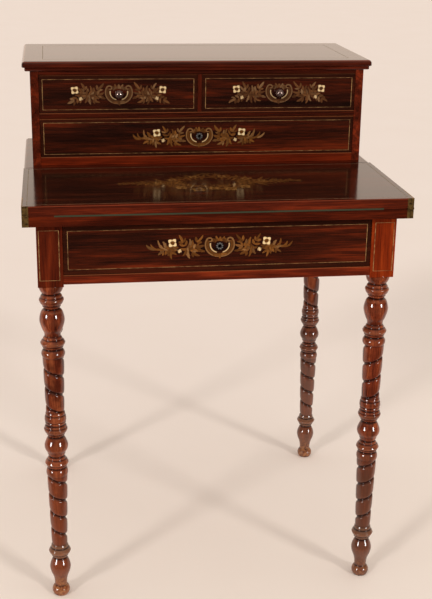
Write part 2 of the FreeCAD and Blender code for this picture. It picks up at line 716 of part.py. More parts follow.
LEAF_ACROSS = ("-leaf_half", "leaf_half")
lower_board = box("lower_board", LEAF_ACROSS, ("front_edge", "back_edge"), ("frieze_top", "writing_height"))
lower_hollow = box("lower_hollow", BAIZE_ACROSS, BAIZE_ALONG, lower_recess)
keep(
    cut("lower_leaf", lower_board, lower_hollow, frieze_lock.mortise("frieze_top"), *leaf_cutters["lower"]),
    "lower_leaf",
)
flap_along = ("front_edge", "front_edge + flap_depth")
flap_board = box("flap_board", LEAF_ACROSS, flap_along, ("writing_height", "leaf_top"))
flap_hollow = box("flap_hollow", BAIZE_ACROSS, BAIZE_ALONG, flap_recess)
keep(cut("flap_leaf", flap_board, flap_hollow, *leaf_cutters["flap"]), "flap_leaf")
keep(
    box("rear_ledge", LEAF_ACROSS, ("ledge_front", "back_edge"), ("writing_height", "leaf_top")),
    "rear_ledge",
)

# The upper case
CASE_ACROSS = ("-case_inner", "case_inner")
HOUSED_ACROSS = ("-case_inner - housing_depth", "case_inner + housing_depth")
BEHIND_RAIL = ("rail_rear", "case_back_front")
RAIL_ALONG = ("case_front", "rail_rear")
case_bottom = keep(
    box("case_bottom", HOUSED_ACROSS, BEHIND_RAIL, ("base_high - case_bottom_thickness", "base_high")),
    "case_bottom",
)
dust_board = keep(
    box("case_dust_board", HOUSED_ACROSS, BEHIND_RAIL, ("mid_high - dust_board_thickness", "mid_high")),
    "case_dust_board",
)
case_back = keep(
    box(
        "case_back",
        ("-case_inner - back_rebate", "case_inner + back_rebate"),
        ("case_back_front", "case_rear"),
        ("leaf_top", "case_high"),
    ),
    "case_back",
)
for side, sign in SIDES:
    board = box(
        f"case_board_{side}",
        on_side(sign, "case_inner", "case_half"),
        ("case_front", "case_rear"),
        ("leaf_top", "case_high"),
    )
    keep(cut(f"case_side_{side}", board, case_bottom, dust_board, case_back), f"case_side_{side}")
keep(box("case_base_rail", CASE_ACROSS, RAIL_ALONG, ("leaf_top", "base_high")), "case_base_rail")
mid_board = box("mid_board", CASE_ACROSS, RAIL_ALONG, ("mid_low", "mid_high"))
keep(cut("case_mid_rail", mid_board, long_lock.mortise("mid_low")), "case_mid_rail")
top_rail = keep(box("case_top_rail", CASE_ACROSS, RAIL_ALONG, ("top_rail_low", "case_high")), "case_top_rail")
divider_board = box(
    "divider_board",
    ("-divider_half", "divider_half"),
    ("case_front", "case_back_front"),
    ("mid_high", "case_high"),
)
keep(cut("case_divider", divider_board, top_rail), "case_divider")


# The case top with its rounded edge, and the moulding under it
def edge_names(shape, wanted):
    """The names of the edges whose box passes a test."""
    return [f"Edge{n}" for n, edge in enumerate(shape.Edges, start=1) if wanted(edge.BoundBox)]


def rounded(body, name, base, wanted, radius):
    """Rounds the edges of a feature that pass a test."""
    doc.recompute()
    fillet = body.newObject("PartDesign::Fillet", name)
    fillet.Base = (base, edge_names(base.Shape, wanted))
    fillet.setExpression("Radius", bound(radius))
    return fillet


def case_top():
    """A board with its front and side edges worked to a thumb moulding."""
    body = doc.addObject("PartDesign::Body", "case_top")
    outline = body.newObject("Sketcher::SketchObject", "case_top_outline")
    ground = next(plane for plane in body.Origin.OriginFeatures if plane.Role == "XY_Plane")
    outline.AttachmentSupport = [(ground, "")]
    outline.MapMode = "FlatFace"
    half = value("case_half") + value("top_side_overhang")
    front = value("case_front") - value("top_front_overhang")
    rear = value("case_rear")
    corners = [Vector(-half, front), Vector(half, front), Vector(half, rear), Vector(-half, rear)]
    for number, corner in enumerate(corners):
        outline.addGeometry(Part.LineSegment(corner, corners[(number + 1) % 4]))
    for number in range(4):
        outline.addConstraint(Sketcher.Constraint("Coincident", number, 2, (number + 1) % 4, 1))
    for number, way in enumerate(("Horizontal", "Vertical", "Horizontal", "Vertical")):
        outline.addConstraint(Sketcher.Constraint(way, number))
    measures = (
        ("DistanceX", 0, 1, -1, 1, half, "case_half + top_side_overhang"),
        ("DistanceX", -1, 1, 0, 2, half, "case_half + top_side_overhang"),
        ("DistanceY", -1, 1, 0, 1, front, "case_front - top_front_overhang"),
        ("DistanceY", -1, 1, 2, 1, rear, "case_rear"),
    )
    for kind, first, first_end, second, second_end, now, text in measures:
        number = outline.addConstraint(Sketcher.Constraint(kind, first, first_end, second, second_end, now))
        outline.setExpression(f"Constraints[{number}]", bound(text))
    board = body.newObject("PartDesign::Pad", "case_top_board")
    board.Profile = outline
    board.setExpression("Length", bound("top_board_thickness"))
    thick = value("top_board_thickness")

    def front_corner(span):
        return span.ZLength > NEAR and span.YMax < front + NEAR

    def upper_edge(span):
        return span.ZMin > thick - NEAR and span.YMin < rear - NEAR

    def lower_edge(span):
        return span.ZMax < NEAR and span.YMin < rear - NEAR

    corners_done = rounded(body, "case_top_corners", board, front_corner, "top_corner_round")
    upper_done = rounded(body, "case_top_upper", corners_done, upper_edge, "top_upper_round")
    rounded(body, "case_top_lower", upper_done, lower_edge, "top_lower_round")
    body.setExpression("Placement.Base.z", bound("case_high"))
    return body


keep(case_top(), "case_top")


def cornice():
    """The moulding under the case top, in three lengths: along the front and back along each side."""
    side_reach = "case_half + top_side_overhang - cornice_step"
    front = "case_front - (top_front_overhang - cornice_step)"
    heights = ("cornice_low", "case_high")
    whole = box("cornice_whole", (f"-({side_reach})", side_reach), (front, "case_rear"), heights)
    inside = box("cornice_inside", ("-case_half", "case_half"), ("case_front", "case_rear"), heights)
    strip = cut("cornice_strip", whole, inside)
    doc.recompute()
    outer = strip.Shape.BoundBox
    low_edges = []
    for number, edge in enumerate(strip.Shape.Edges, start=1):
        span = edge.BoundBox
        at_side = span.XMax < outer.XMin + NEAR or span.XMin > outer.XMax - NEAR
        if span.ZMax < outer.ZMin + NEAR and (at_side or span.YMax < outer.YMin + NEAR):
            low_edges.append((number, value("cornice_round"), value("cornice_round")))
    moulding = doc.addObject("Part::Fillet", "cornice_rounded")
    moulding.Base = strip
    moulding.Edges = low_edges
    lengths = [("front", (f"-({side_reach})", side_reach), (front, "case_front"))]
    for side, sign in SIDES:
        lengths.append((side, on_side(sign, "case_half", side_reach), ("case_front", "case_rear")))
    pieces = []
    for side, across, along in lengths:
        piece = doc.addObject("Part::Common", f"cornice_{side}")
        piece.Base = moulding
        piece.Tool = box(f"cornice_{side}_span", across, along, heights)
        pieces.append(piece)
    return group("cornice_moulding", *pieces)


keep(cornice(), "cornice_moulding")


# The drawers
class Drawer:
    """One drawer between two places across, its front flush in its opening."""

    def __init__(self, name, across, face, front_thickness, side_thickness, seat, low, high, end):
        self.name = name
        self.left, self.right = across
        self.face = face
        self.inner = f"({face} + {front_thickness})"
        self.side = side_thickness
        self.seat = seat
        self.low = low
        self.high = high
        self.end = end

    def side_boards(self):
        along = (f"{self.face} + lap_cover", self.end)
        heights = (f"{self.seat} + drawer_play", f"{self.high} - side_drop")
        spans = (
            ("left", (self.left, f"{self.left} + {self.side}")),
            ("right", (f"{self.right} - {self.side}", self.right)),
        )
        return [box(f"{self.name}_{side}_board", span, along, heights) for side, span in spans]

    def bottom_heights(self):
        low = f"{self.seat} + drawer_play + bottom_lift"
        return (low, f"{low} + bottom_thickness")

    def stops(self):
        """Two blocks that the closed drawer front meets."""
        spans = (
            (f"{self.left} + stop_inset", f"{self.left} + stop_inset + stop_width"),
            (f"{self.right} - stop_inset - stop_width", f"{self.right} - stop_inset"),
        )
        along = (f"{self.inner} + stop_gap", f"{self.inner} + stop_gap + stop_length")
        heights = (self.seat, f"{self.seat} + stop_height")
        return [box(f"{self.name}_stop", span, along, heights) for span in spans]

    def build(self, fittings):
        """Adds the drawer's pieces. The fittings are what its front makes room for."""
        front_board = box(
            f"{self.name}_front_board",
            (self.left, self.right),
            (self.face, self.inner),
            (self.low, self.high),
        )
        sides = self.side_boards()
        bottom = box(
            f"{self.name}_bottom",
            (f"{self.left} + {self.side} - groove_depth", f"{self.right} - {self.side} + groove_depth"),
            (f"{self.inner} - groove_depth", self.end),
            self.bottom_heights(),
        )
        back = box(
            f"{self.name}_back",
            (f"{self.left} + {self.side}", f"{self.right} - {self.side}"),
            (f"{self.end} - back_thickness", self.end),
            (self.bottom_heights()[1], f"{self.high} - side_drop"),
        )
        keep(cut(f"{self.name}_front", front_board, *sides, bottom, *fittings), f"{self.name}_front")
        grooved = [cut(f"{side.Name}_grooved", side, bottom) for side in sides]
        keep(group(f"{self.name}_sides", *grooved), f"{self.name}_sides")
        keep(bottom, f"{self.name}_bottom")
        keep(back, f"{self.name}_back")
        return self.stops()


def knob(name, across, height):
    """A turned knob on its rose. Gives back the shank, which its drawer front makes room for."""
    start = (across, CASE_FACE, height)
    shank = rod(f"{name}_shank", "shank_radius", "shank_length", start, "+y")
    rose = taper(f"{name}_rose", "rose_radius", "knob_neck_radius", "rose_thickness", start, "-y")
    neck = rod(f"{name}_neck", "knob_neck_radius", "knob_reach", start, "-y")
    ball = doc.addObject("Part::Sphere", f"{name}_ball")
    ball.Placement = Placement(Vector(), TURNED["-y"])
    ball.setExpression("Radius", bound("knob_radius"))
    place(ball, across, f"{CASE_FACE} - knob_reach", height)
    keep(joined(name, shank, rose, neck, ball), name)
    return shank


stops = []
frieze_across = ("drawer_gap - block_inner", "block_inner - drawer_gap")
frieze_drawer = Drawer(
    "frieze_drawer",
    frieze_across,
    FRIEZE_FACE,
    "frieze_front_thickness",
    "frieze_side_thickness",
    "rail_high",
    "frieze_low",
    "frieze_high",
    "(rear_apron_front - frieze_drawer_room)",
)
stops += frieze_drawer.build(frieze_lock.pieces())


def case_drawer(name, across, seat, low, high):
    """A drawer of the upper case."""
    makings = ("upper_front_thickness", "upper_side_thickness")
    return Drawer(name, across, CASE_FACE, *makings, seat, low, high, "(case_back_front - upper_drawer_room)")


long_across = ("drawer_gap - case_inner", "case_inner - drawer_gap")
long_drawer = case_drawer("long_drawer", long_across, "base_high", "long_low", "long_high")
stops += long_drawer.build(long_lock.pieces())
for side, sign in SIDES:
    small_across = on_side(sign, "divider_half + drawer_gap", "case_inner - drawer_gap")
    drawer = case_drawer(f"small_drawer_{side}", small_across, "mid_high", "small_low", "small_high")
    shank = knob(f"small_knob_{side}", f"{sign} * small_middle", "(small_low + small_high) / 2")
    stops += drawer.build([shank])
keep(group("drawer_stops", *stops), "drawer_stops")

doc.recompute()
failed = [piece.Label for piece in doc.Objects if {"Invalid", "Error"} & set(piece.State)]
if failed:
    raise RuntimeError(f"these did not recompute: {failed}")
for piece in sub_parts:
    if piece.Shape.isNull() or not piece.Shape.isValid() or not piece.Shape.Solids:
        raise RuntimeError(f"{piece.Label} has no sound solid")

os.makedirs("parts", exist_ok=True)
for piece in sub_parts:
    piece.Shape.exportStep(f"parts/{piece.Label}.step")
print(f"{len(sub_parts)} sub-parts written")
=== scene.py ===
# %% [markdown]
# # A fold-over writing desk
#
# The desk is a small lady's writing table of the 1860s: a frieze with one
# drawer on four twisted legs, a leaf that folds open on brass hinges, and a low
# case of three drawers at the back. The solid model is loaded as a fixed frame,
# and this lesson dresses it: turned legs, veneers, inlay, brass and baize.

# %% Load the frame
import math
import random

import bmesh
import bpy
from mathutils import Matrix, Vector


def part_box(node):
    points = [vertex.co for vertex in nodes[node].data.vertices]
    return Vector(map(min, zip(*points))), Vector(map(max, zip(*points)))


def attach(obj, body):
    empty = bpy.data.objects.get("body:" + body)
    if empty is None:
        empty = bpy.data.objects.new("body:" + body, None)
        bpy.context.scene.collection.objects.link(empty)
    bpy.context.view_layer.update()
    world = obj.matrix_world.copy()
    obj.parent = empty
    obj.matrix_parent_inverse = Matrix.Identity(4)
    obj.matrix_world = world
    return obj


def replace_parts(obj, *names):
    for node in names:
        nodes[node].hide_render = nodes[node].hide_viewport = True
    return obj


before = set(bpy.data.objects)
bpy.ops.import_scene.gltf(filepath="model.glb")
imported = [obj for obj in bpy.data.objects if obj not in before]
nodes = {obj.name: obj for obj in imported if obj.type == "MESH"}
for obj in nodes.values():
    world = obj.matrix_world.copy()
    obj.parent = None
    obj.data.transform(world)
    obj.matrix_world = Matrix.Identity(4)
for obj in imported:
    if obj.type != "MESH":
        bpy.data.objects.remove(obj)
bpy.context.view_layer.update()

MM = 0.001


def corners(node):
    """The low and the high corner of a solid, in millimetres."""
    low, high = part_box(node)
    return low / MM, high / MM


def add(name, data):
    """A new object in the scene."""
    made = bpy.data.objects.new(name, data)
    bpy.context.scene.collection.objects.link(made)
    return made


# %% [markdown]
# ## The camera
#
# A photograph fixes where its camera stood. A Track To constraint could aim the
# camera, but it can't hold the slight tilt of a hand-set tripod, so three turns
# go into its matrix: to the side, up from straight down, and the roll.

# %% Place the camera
CAMERA_PLACE = Vector((-0.27548, -2.11292, 1.21274))
CAMERA_TURNS = ((-8.31, "Z"), (90 - 18.95, "X"), (0.82, "Z"))
# The sensor's width and the lens in millimetres, and how far the camera sees in metres.
SENSOR, LENS, FAR = 36, 69.58, 200

camera_data = bpy.data.cameras.new("desk_camera")
camera_data.sensor_width = SENSOR
camera_data.lens = LENS
camera_data.clip_end = FAR
camera = add("desk_camera", camera_data)
side, tilt, roll = (Matrix.Rotation(math.radians(angle), 4, axis) for angle, axis in CAMERA_TURNS)
camera.matrix_world = Matrix.Translation(CAMERA_PLACE) @ side @ tilt @ roll
bpy.context.scene.camera = camera
print("camera at", [round(part, 3) for part in CAMERA_PLACE], "lens", LENS, "mm")

# %% [markdown]
# ## Node sums written as Python
#
# A finish is a tree of nodes, and sums of nodes are hard to read as a list of
# links. This small class holds one socket. Adding, multiplying or comparing two
# of them adds a Math node, so a mask reads like the sum that it is. Colours and
# vectors keep to their own kinds of node, and every node comes from `node`.

# %% A socket that can do sums
def sum_node(operation):
    """A method that adds a Math node for a Python operator."""
    return lambda *values: values[0].math(operation, *values)


class Wire:
    """One output of a tree of nodes, on which Python operators add Math nodes."""

    def __init__(self, owner, socket=None):
        self.owner = owner
        self.socket = socket

    def node(self, kind, settings=None, sockets=None, output=0):
        """Add a node: its settings come first, then what its sockets are given."""
        tree = self.owner.node_tree
        made = tree.nodes.new(kind)
        for name, setting in (settings or {}).items():
            if name == "stops":
                set_stops(made.color_ramp, setting)
            else:
                setattr(made, name, setting)
        for name, given in (sockets or {}).items():
            if isinstance(given, Wire):
                tree.links.new(given.socket, made.inputs[name])
            else:
                made.inputs[name].default_value = given
        return Wire(self.owner, made.outputs[output] if made.outputs else None)

    def math(self, operation, *values):
        return self.node("ShaderNodeMath", {"operation": operation}, dict(enumerate(values)))

    def __rsub__(self, other):
        return self.math("SUBTRACT", other, self)

    __add__ = __radd__ = sum_node("ADD")
    __mul__ = __rmul__ = sum_node("MULTIPLY")
    __sub__ = sum_node("SUBTRACT")
    __lt__ = sum_node("LESS_THAN")
    __gt__ = sum_node("GREATER_THAN")
    __abs__ = sum_node("ABSOLUTE")


def set_stops(ramp, stops):
    """Give a colour ramp its stops, each a place from 0 to 1 and a colour."""
    while len(ramp.elements) < len(stops):
        ramp.elements.new(1.0)
    for element, (place, colour) in zip(ramp.elements, stops):
        element.position = place
        element.color = colour


print("a wire can add, subtract, multiply and compare")

# %% [markdown]
# ## Small helpers for finishes
#
# Colours are easiest to choose as a screen shows them, from 0 to 255, but Blender
# works in linear light, so `srgb` turns one into the other. The rest are the few
# nodes that every finish here needs: a noise, a blend of two colours, a sum of
# two vectors and a slope from one value to another. Each adds its node to the
# tree of the wire that it is given.

# %% Colour, noise and blends
def srgb(red, green, blue):
    """A colour as a screen shows it, as Blender's linear colour."""
    parts = (part / 255 for part in (red, green, blue))
    return tuple(p / 12.92 if p <= 0.04045 else ((p + 0.055) / 1.055) ** 2.4 for p in parts) + (1.0,)


def bare(owner):
    """The start of a tree of nodes for a new material or world."""
    owner.use_nodes = True
    owner.node_tree.nodes.clear()
    return Wire(owner)


def new_finish(name):
    """The places on a piece, which stay with it when it moves, in a new material."""
    return bare(bpy.data.materials.new(name)).node("ShaderNodeTexCoord", output="Object")


def noise(vector, scale, detail=3.0, roughness=0.55):
    sockets = {"Vector": vector, "Scale": scale, "Detail": detail, "Roughness": roughness}
    return vector.node("ShaderNodeTexNoise", {}, sockets)


def vector_sum(operation, first, second):
    return first.node("ShaderNodeVectorMath", {"operation": operation}, {0: first, 1: second})


def blend(share, first, second):
    """Mix two colours."""
    return share.node("ShaderNodeMix", {"data_type": "RGBA"}, {0: share, 6: first, 7: second}, 2)


def slope(value, low, high, first=0.0, last=1.0):
    """A smooth change from first to last while a value goes from low to high."""
    sockets = {"Value": value, "From Min": low, "From Max": high, "To Min": first, "To Max": last}
    return value.node("ShaderNodeMapRange", {"interpolation_type": "SMOOTHSTEP"}, sockets)


def split(vector):
    """The three parts of a vector."""
    return [vector.node("ShaderNodeSeparateXYZ", {}, {0: vector}, part) for part in "XYZ"]


def measure(start, name):
    """A number that a mesh keeps for each of its points."""
    return start.node("ShaderNodeAttribute", {"attribute_name": name}, output="Fac")


print("helpers ready")

# %% [markdown]
# ## Wood
#
# The desk is veneered in rosewood, nearly black with red streaks, on a frame of
# red mahogany. A photograph of wood could be wrapped on, but a procedural grain
# fits every board and follows its length. Four noises are stretched along the
# board: two for the bands and streaks, a fine one for the fibres and a hair-fine
# one for the pores. Each board takes its own piece of that grain from the random
# number that Blender gives every object.

# %% Grain along a board
# How far each noise of the grain is drawn out along the board, its scale and its detail.
GRAIN_NOISES = ((0.13, 34.0, 4.0), (0.05, 90.0, 5.0), (0.04, 420.0, 3.0), (0.02, 2600.0, 1.0))
BANDS, STREAKS, FIBRES = 0.36, 0.4, 0.24
PORE, BUMP_DEPTH = srgb(24, 8, 5), 0.0004


def stretch(way, share):
    """A vector that draws a noise out along X, Y or Z."""
    return tuple(share if axis == way else 1.0 for axis in "XYZ")


def grain(place, way, wood_shades, lift=0.0):
    """The colour, roughness and height of wood with its grain along X, Y or Z. A lift makes it paler."""
    chance = place.node("ShaderNodeObjectInfo", output="Random")
    shift = place.node("ShaderNodeCombineXYZ", {}, {"X": chance * 7.3, "Y": chance * 11.9, "Z": chance * 5.1})
    board = vector_sum("ADD", place, shift)
    bend = noise(vector_sum("MULTIPLY", board, stretch(way, 0.1)), 9.0, 2.0)
    sway = place.node("ShaderNodeCombineXYZ", {}, {part: bend * 0.03 for part in "XYZ"})
    swayed = vector_sum("ADD", board, sway)
    bands, streaks, fibres, specks = (
        noise(vector_sum("MULTIPLY", swayed, stretch(way, share)), scale, detail, 0.6)
        for share, scale, detail in GRAIN_NOISES
    )
    pores = slope(specks, 0.6, 0.72)
    tone = bands * BANDS + streaks * STREAKS + fibres * FIBRES + lift
    colour = place.node("ShaderNodeValToRGB", {"stops": wood_shades}, {0: tone})
    return blend(pores * 0.55, colour, PORE), 0.3 + fibres * 0.16, 1 - pores


def surface(colour, roughness, height, bump=0.12, **steady):
    """Finish a material. What is the same all over is set on the shader's own sockets."""
    sockets = {"Base Color": colour, "Roughness": roughness}
    if height is not None:
        uneven = {"Strength": bump, "Distance": BUMP_DEPTH, "Height": height}
        sockets["Normal"] = colour.node("ShaderNodeBump", {}, uneven)
    sockets.update({name.replace("_", " "): given for name, given in steady.items()})
    shader = colour.node("ShaderNodeBsdfPrincipled", {}, sockets)
    colour.node("ShaderNodeOutputMaterial", {}, {"Surface": shader})
    return colour.owner


POLISH = {"Specular_IOR_Level": 0.0, "Coat_Weight": 1.0, "Coat_Roughness": 0.05, "Coat_IOR": 1.5}
WAXED = {"Specular_IOR_Level": 0.2, "Coat_Weight": 0.25, "Coat_Roughness": 0.3}
print("grain of", len(GRAIN_NOISES), "noises")

# %% Plain boards of each wood
def shades(stops, *colours):
    """The colours of a wood, from dark to pale, as stops of a ramp."""
    return [(stop, srgb(*colour)) for stop, colour in zip(stops, colours)]


def shaded(wood_shades, share):
    """A darker or a paler board of one wood."""
    return [(stop, (*(share * part for part in colour[:3]), 1.0)) for stop, colour in wood_shades]


STREAKED, FIGURED = (0.38, 0.46, 0.54, 0.62), (0.38, 0.5, 0.62)
EVEN, MILD = (0.3, 0.5, 0.7), (0.35, 0.5, 0.65)
ROSEWOOD = shades(STREAKED, (22, 9, 6), (40, 15, 8), (62, 22, 10), (102, 36, 15))
TOP_ROSEWOOD = shades(STREAKED, (22, 10, 6), (34, 15, 9), (48, 20, 11), (78, 32, 16))
BORDER = shades(EVEN, (28, 10, 6), (46, 18, 9), (74, 29, 14))
MAHOGANY = shades(FIGURED, (42, 12, 5), (72, 23, 10), (118, 41, 17))
WALNUT = shades(EVEN, (50, 24, 13), (78, 40, 23), (104, 58, 36))
LINING = shades(EVEN, (118, 78, 48), (150, 106, 68), (172, 130, 90))
BASE_RED = shades(MILD, (48, 12, 4), (82, 24, 8), (124, 40, 14))
MID_RED = shades(MILD, (36, 11, 5), (58, 19, 9), (96, 32, 14))
# How high the pale line along an upper edge is, in millimetres: wear and a painted highlight where the arris
# catches the light.
WEAR_AND_HIGHLIGHT_LINE = 1.1
# The colours of those pale lines: wear and a painted highlight.
RAIL_WEAR_AND_HIGHLIGHT, FRONT_WEAR_AND_HIGHLIGHT, TOP_WEAR_AND_HIGHLIGHT = srgb(166, 96, 56), srgb(160, 92, 52), srgb(140, 66, 42)


def wood(name, way, wood_shades, finish=POLISH):
    """A board of one wood, polished or waxed."""
    return surface(*grain(new_finish(name), way, wood_shades), **finish)


def lipped(place, wood_shades):
    """The grain of a board along X with lippings along Y on its ends."""
    x_part = split(place.node("ShaderNodeNewGeometry", output="Normal"))[0]
    board, roughness, height = grain(place, "X", wood_shades)
    lipping = grain(place, "Y", wood_shades)[0]
    return blend(abs(x_part) > 0.7, board, lipping), roughness, height


def lipped_board(name, wood_shades):
    return surface(*lipped(new_finish(name), wood_shades), **POLISH)


def rail(node, wood_shades, lift):
    """A rail along X with a pale upper edge, worn and painted as a highlight. It grows paler towards its
    right end.
    """
    place = new_finish(f"{node}_wood")
    x, _, z = split(place)
    high = corners(node)[1]
    paler = slope(x, 0.0, high.x * MM) * lift
    colour, roughness, height = grain(place, "X", wood_shades, paler)
    # The pale upper edge is wear and a painted highlight.
    worn = z > (high.z - WEAR_AND_HIGHLIGHT_LINE) * MM
    return surface(blend(worn * 0.35, colour, RAIL_WEAR_AND_HIGHLIGHT), roughness, height, **POLISH)


mahogany = wood("mahogany_along_y", "Y", MAHOGANY)
walnut, lining = (
    {way: wood(f"{name}_along_{way.lower()}", way, wood_shades, WAXED) for way in "XY"}
    for name, wood_shades in (("walnut", WALNUT), ("lining", LINING))
)
cornice_wood = lipped_board("cornice_wood", shaded(MID_RED, 1.3))
lower_leaf_wood = lipped_board("lower_leaf_wood", shaded(MAHOGANY, 0.7))
pale_side_wood = wood("pale_side_wood", "Y", shaded(MAHOGANY, 1.45))
divider_wood = wood("divider_wood", "Z", shaded(MAHOGANY, 1.4))
# The wood of each rail, how pale it is, and how much paler it grows.
RAILS = {
    "front_rail": (MAHOGANY, 1.4, 0.01),
    "case_base_rail": (BASE_RED, 1.2, 0.0),
    "case_mid_rail": (MID_RED, 0.75, 0.0),
    "case_top_rail": (MID_RED, 0.9, 0.0),
}
rails = {node: rail(node, shaded(reds, share), lift) for node, (reds, share, lift) in RAILS.items()}
print("plain boards:", 5 + len(walnut) + len(lining), "finishes, rails:", len(rails))

# %% [markdown]
# ## Veneered faces
#
# A drawer front has a rosewood field with a darker band outside the inlaid line.
# The leaf and the top of the case are red on their edges and dark on top. Each
# veneer could be a sheet of its own, but a mask made from places on the board is
# enough to choose between two woods. Its seam is exact, and stays with the board
# when it moves.

# %% Fronts and tops
# For each drawer: how far its inlaid line lies in from the left, below, the right and above, how much paler
# its field grows towards its right end, and how far its upper edge is worn and painted with a highlight.
DRAWERS = {
    "frieze_drawer": ((7.5, 8.8, 7.5, 11.7), 0.06, 0.4),
    "long_drawer": ((5.9, 4.6, 5.9, 7.4), 0.04, 0.4),
    "small_drawer_left": ((5.9, 5.7, 6.4, 7.6), 0.0, 0.14),
    "small_drawer_right": ((6.4, 5.7, 5.9, 7.6), -0.05, 0.14),
}
# The red band along the leaf's front, the skin of veneer on a top, and where its pale edge starts and ends:
# wear and a painted highlight.
LEAF_INSET, VENEER, WEAR_AND_HIGHLIGHT_LOW, WEAR_AND_HIGHLIGHT_HIGH = 9.0, 0.5, 2.4, 1.2


def line_places(drawer):
    """The left, the low, the right and the high place of a drawer's inlaid line."""
    low, high = corners(f"{drawer}_front")
    left, below, right, above = DRAWERS[drawer][0]
    return low.x + left, low.z + below, high.x - right, high.z - above


def veneered_front(drawer):
    """A drawer front: a rosewood field inside a darker band, with a pale upper edge, worn and painted as a
    highlight.
    """
    place = new_finish(f"{drawer}_veneer")
    x, _, z = split(place)
    left, low, right, high = (side * MM for side in line_places(drawer))
    _, lift, wear_and_highlight = DRAWERS[drawer]
    inside = (x > left) * (x < right) * (z > low) * (z < high)
    field, roughness, height = grain(place, "X", ROSEWOOD, slope(x, 0.0, right) * lift)
    veneer = blend(inside, grain(place, "X", BORDER)[0], field)
    # The pale upper edge is wear and a painted highlight.
    worn = z > (corners(f"{drawer}_front")[1].z - WEAR_AND_HIGHLIGHT_LINE) * MM
    return surface(blend(worn * wear_and_highlight, veneer, FRONT_WEAR_AND_HIGHLIGHT), roughness, height, **POLISH)


def veneered_top(name, node, edges, front, coat):
    """A leaf: rosewood on top, red wood on its edges and along its front, and a pale line between them, worn
    and painted as a highlight.
    """
    place = new_finish(name)
    _, y, z = split(place)
    low, (*_, top) = corners(node)
    face = (z > (top - VENEER) * MM) * (y > (low.y + front) * MM)
    field, roughness, height = grain(place, "X", TOP_ROSEWOOD)
    # The pale line below the top is wear and a painted highlight along the arris.
    worn = slope(z, (top - WEAR_AND_HIGHLIGHT_LOW) * MM, (top - WEAR_AND_HIGHLIGHT_HIGH) * MM) * (z < (top - VENEER) * MM)
    red = blend(worn * 0.5, lipped(place, edges)[0], TOP_WEAR_AND_HIGHLIGHT)
    return surface(blend(face, red, field), roughness, height, **{**POLISH, "Coat_Roughness": coat})


fronts = {drawer: veneered_front(drawer) for drawer in DRAWERS}
leaf_veneer = veneered_top("leaf_veneer", "flap_leaf", MAHOGANY, LEAF_INSET, 0.12)
case_veneer = veneered_top("case_top_veneer", "case_top", MID_RED, 0, 0.1)
print("veneers:", len(fronts), "fronts, 2 tops")

# %% [markdown]
# ## Brass, steel and baize
#
# The hinge plates and the inlaid lines are brass that nobody has polished for
# years, the key plates are blued steel, and the writing surface is green baize.
# One plain colour would do for new brass, but old metal is never one clean
# mirror, so a soft noise dulls it in patches and changes its roughness. Baize is
# felted wool, so it has no shine but a sheen at the edge of sight, and a fine
# tangle of fibres.

# %% Metals and cloth
def metal(name, clean, dull, rough=(0.22, 0.5), scale=220.0, share=1.0):
    """A metal with dull patches. Its share says how metallic it is."""
    place = new_finish(name)
    patches = slope(noise(place, scale, 4.0, 0.6), 0.35, 0.7)
    scratches = noise(place, scale * 9, 2.0)
    roughness = rough[0] + patches * (rough[1] - rough[0])
    return surface(blend(patches, srgb(*clean), srgb(*dull)), roughness, scratches, 0.05, Metallic=share)


def felt(name, pale, deep):
    """Baize: a tangle of fibres with no shine."""
    place = new_finish(name)
    tangle = noise(place, 1900.0, 4.0, 0.7)
    worn = noise(place, 14.0, 3.0)
    colour = blend(tangle * 0.6 + worn * 0.4, deep, pale)
    return surface(colour, 0.95, tangle, 0.35, Sheen_Weight=0.06, Sheen_Roughness=0.5)


brass = metal("aged_brass", (150, 116, 64), (66, 46, 24), (0.3, 0.55), share=0.7)
line_brass = metal("inlaid_brass", (190, 146, 92), (96, 64, 34), (0.35, 0.55), 90.0, 0.3)
top_brass = metal("worn_inlaid_brass", (136, 116, 84), (92, 74, 48), (0.5, 0.7), share=0.1)
knob_brass = metal("knob_brass", (172, 148, 138), (108, 86, 78), (0.08, 0.18), share=0.78)
blued_steel = metal("blued_steel", (140, 142, 152), (76, 76, 84))
pale_steel = metal("pale_steel", (150, 146, 142), (80, 76, 74), (0.3, 0.5), share=0.4)
dark_steel = metal("dark_steel", (90, 88, 86), (48, 44, 42))
baize = felt("green_baize", srgb(60, 72, 50), srgb(32, 42, 30))
print("metals: 7, baize: 1")

# %% [markdown]
# ## New pieces
#
# Every new mesh becomes an object and rides on the body that carries it. One
# helper does this for all of them. Another rounds the edges of the solids that
# stay: their meshes are never changed, so a Weld modifier joins the loose faces
# first and a Bevel modifier rounds them.

# %% Pieces and eased edges
WELD_REACH, SHARP, EASE_STEPS = 1e-6, math.radians(35), 2


def meshed(name, mesh, *finishes):
    """A finished mesh as an object with its finishes."""
    data = bpy.data.meshes.new(name)
    mesh.to_mesh(data)
    mesh.free()
    for finish in finishes:
        data.materials.append(finish)
    return add(name, data)


def piece(name, mesh, body, slot, *finishes):
    """A mesh with its faces turned outward, which rides on a body."""
    bmesh.ops.recalc_face_normals(mesh, faces=mesh.faces)
    made = meshed(name, mesh, *finishes)
    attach(made, body)
    return made


def ease(node, width):
    """Round the sharp edges of a solid by so many millimetres."""
    weld = nodes[node].modifiers.new("joined", "WELD")
    weld.merge_threshold = WELD_REACH
    bevel = nodes[node].modifiers.new("eased", "BEVEL")
    bevel.width = width * MM
    bevel.segments = EASE_STEPS
    bevel.limit_method = "ANGLE"
    bevel.angle_limit = SHARP
    bevel.harden_normals = True


def dress(finish, *names, edge=0.6):
    """Give solids a finish, and soft edges where they have sharp ones."""
    for name in names:
        nodes[name].data.materials.clear()
        nodes[name].data.materials.append(finish)
        if edge:
            ease(name, edge)


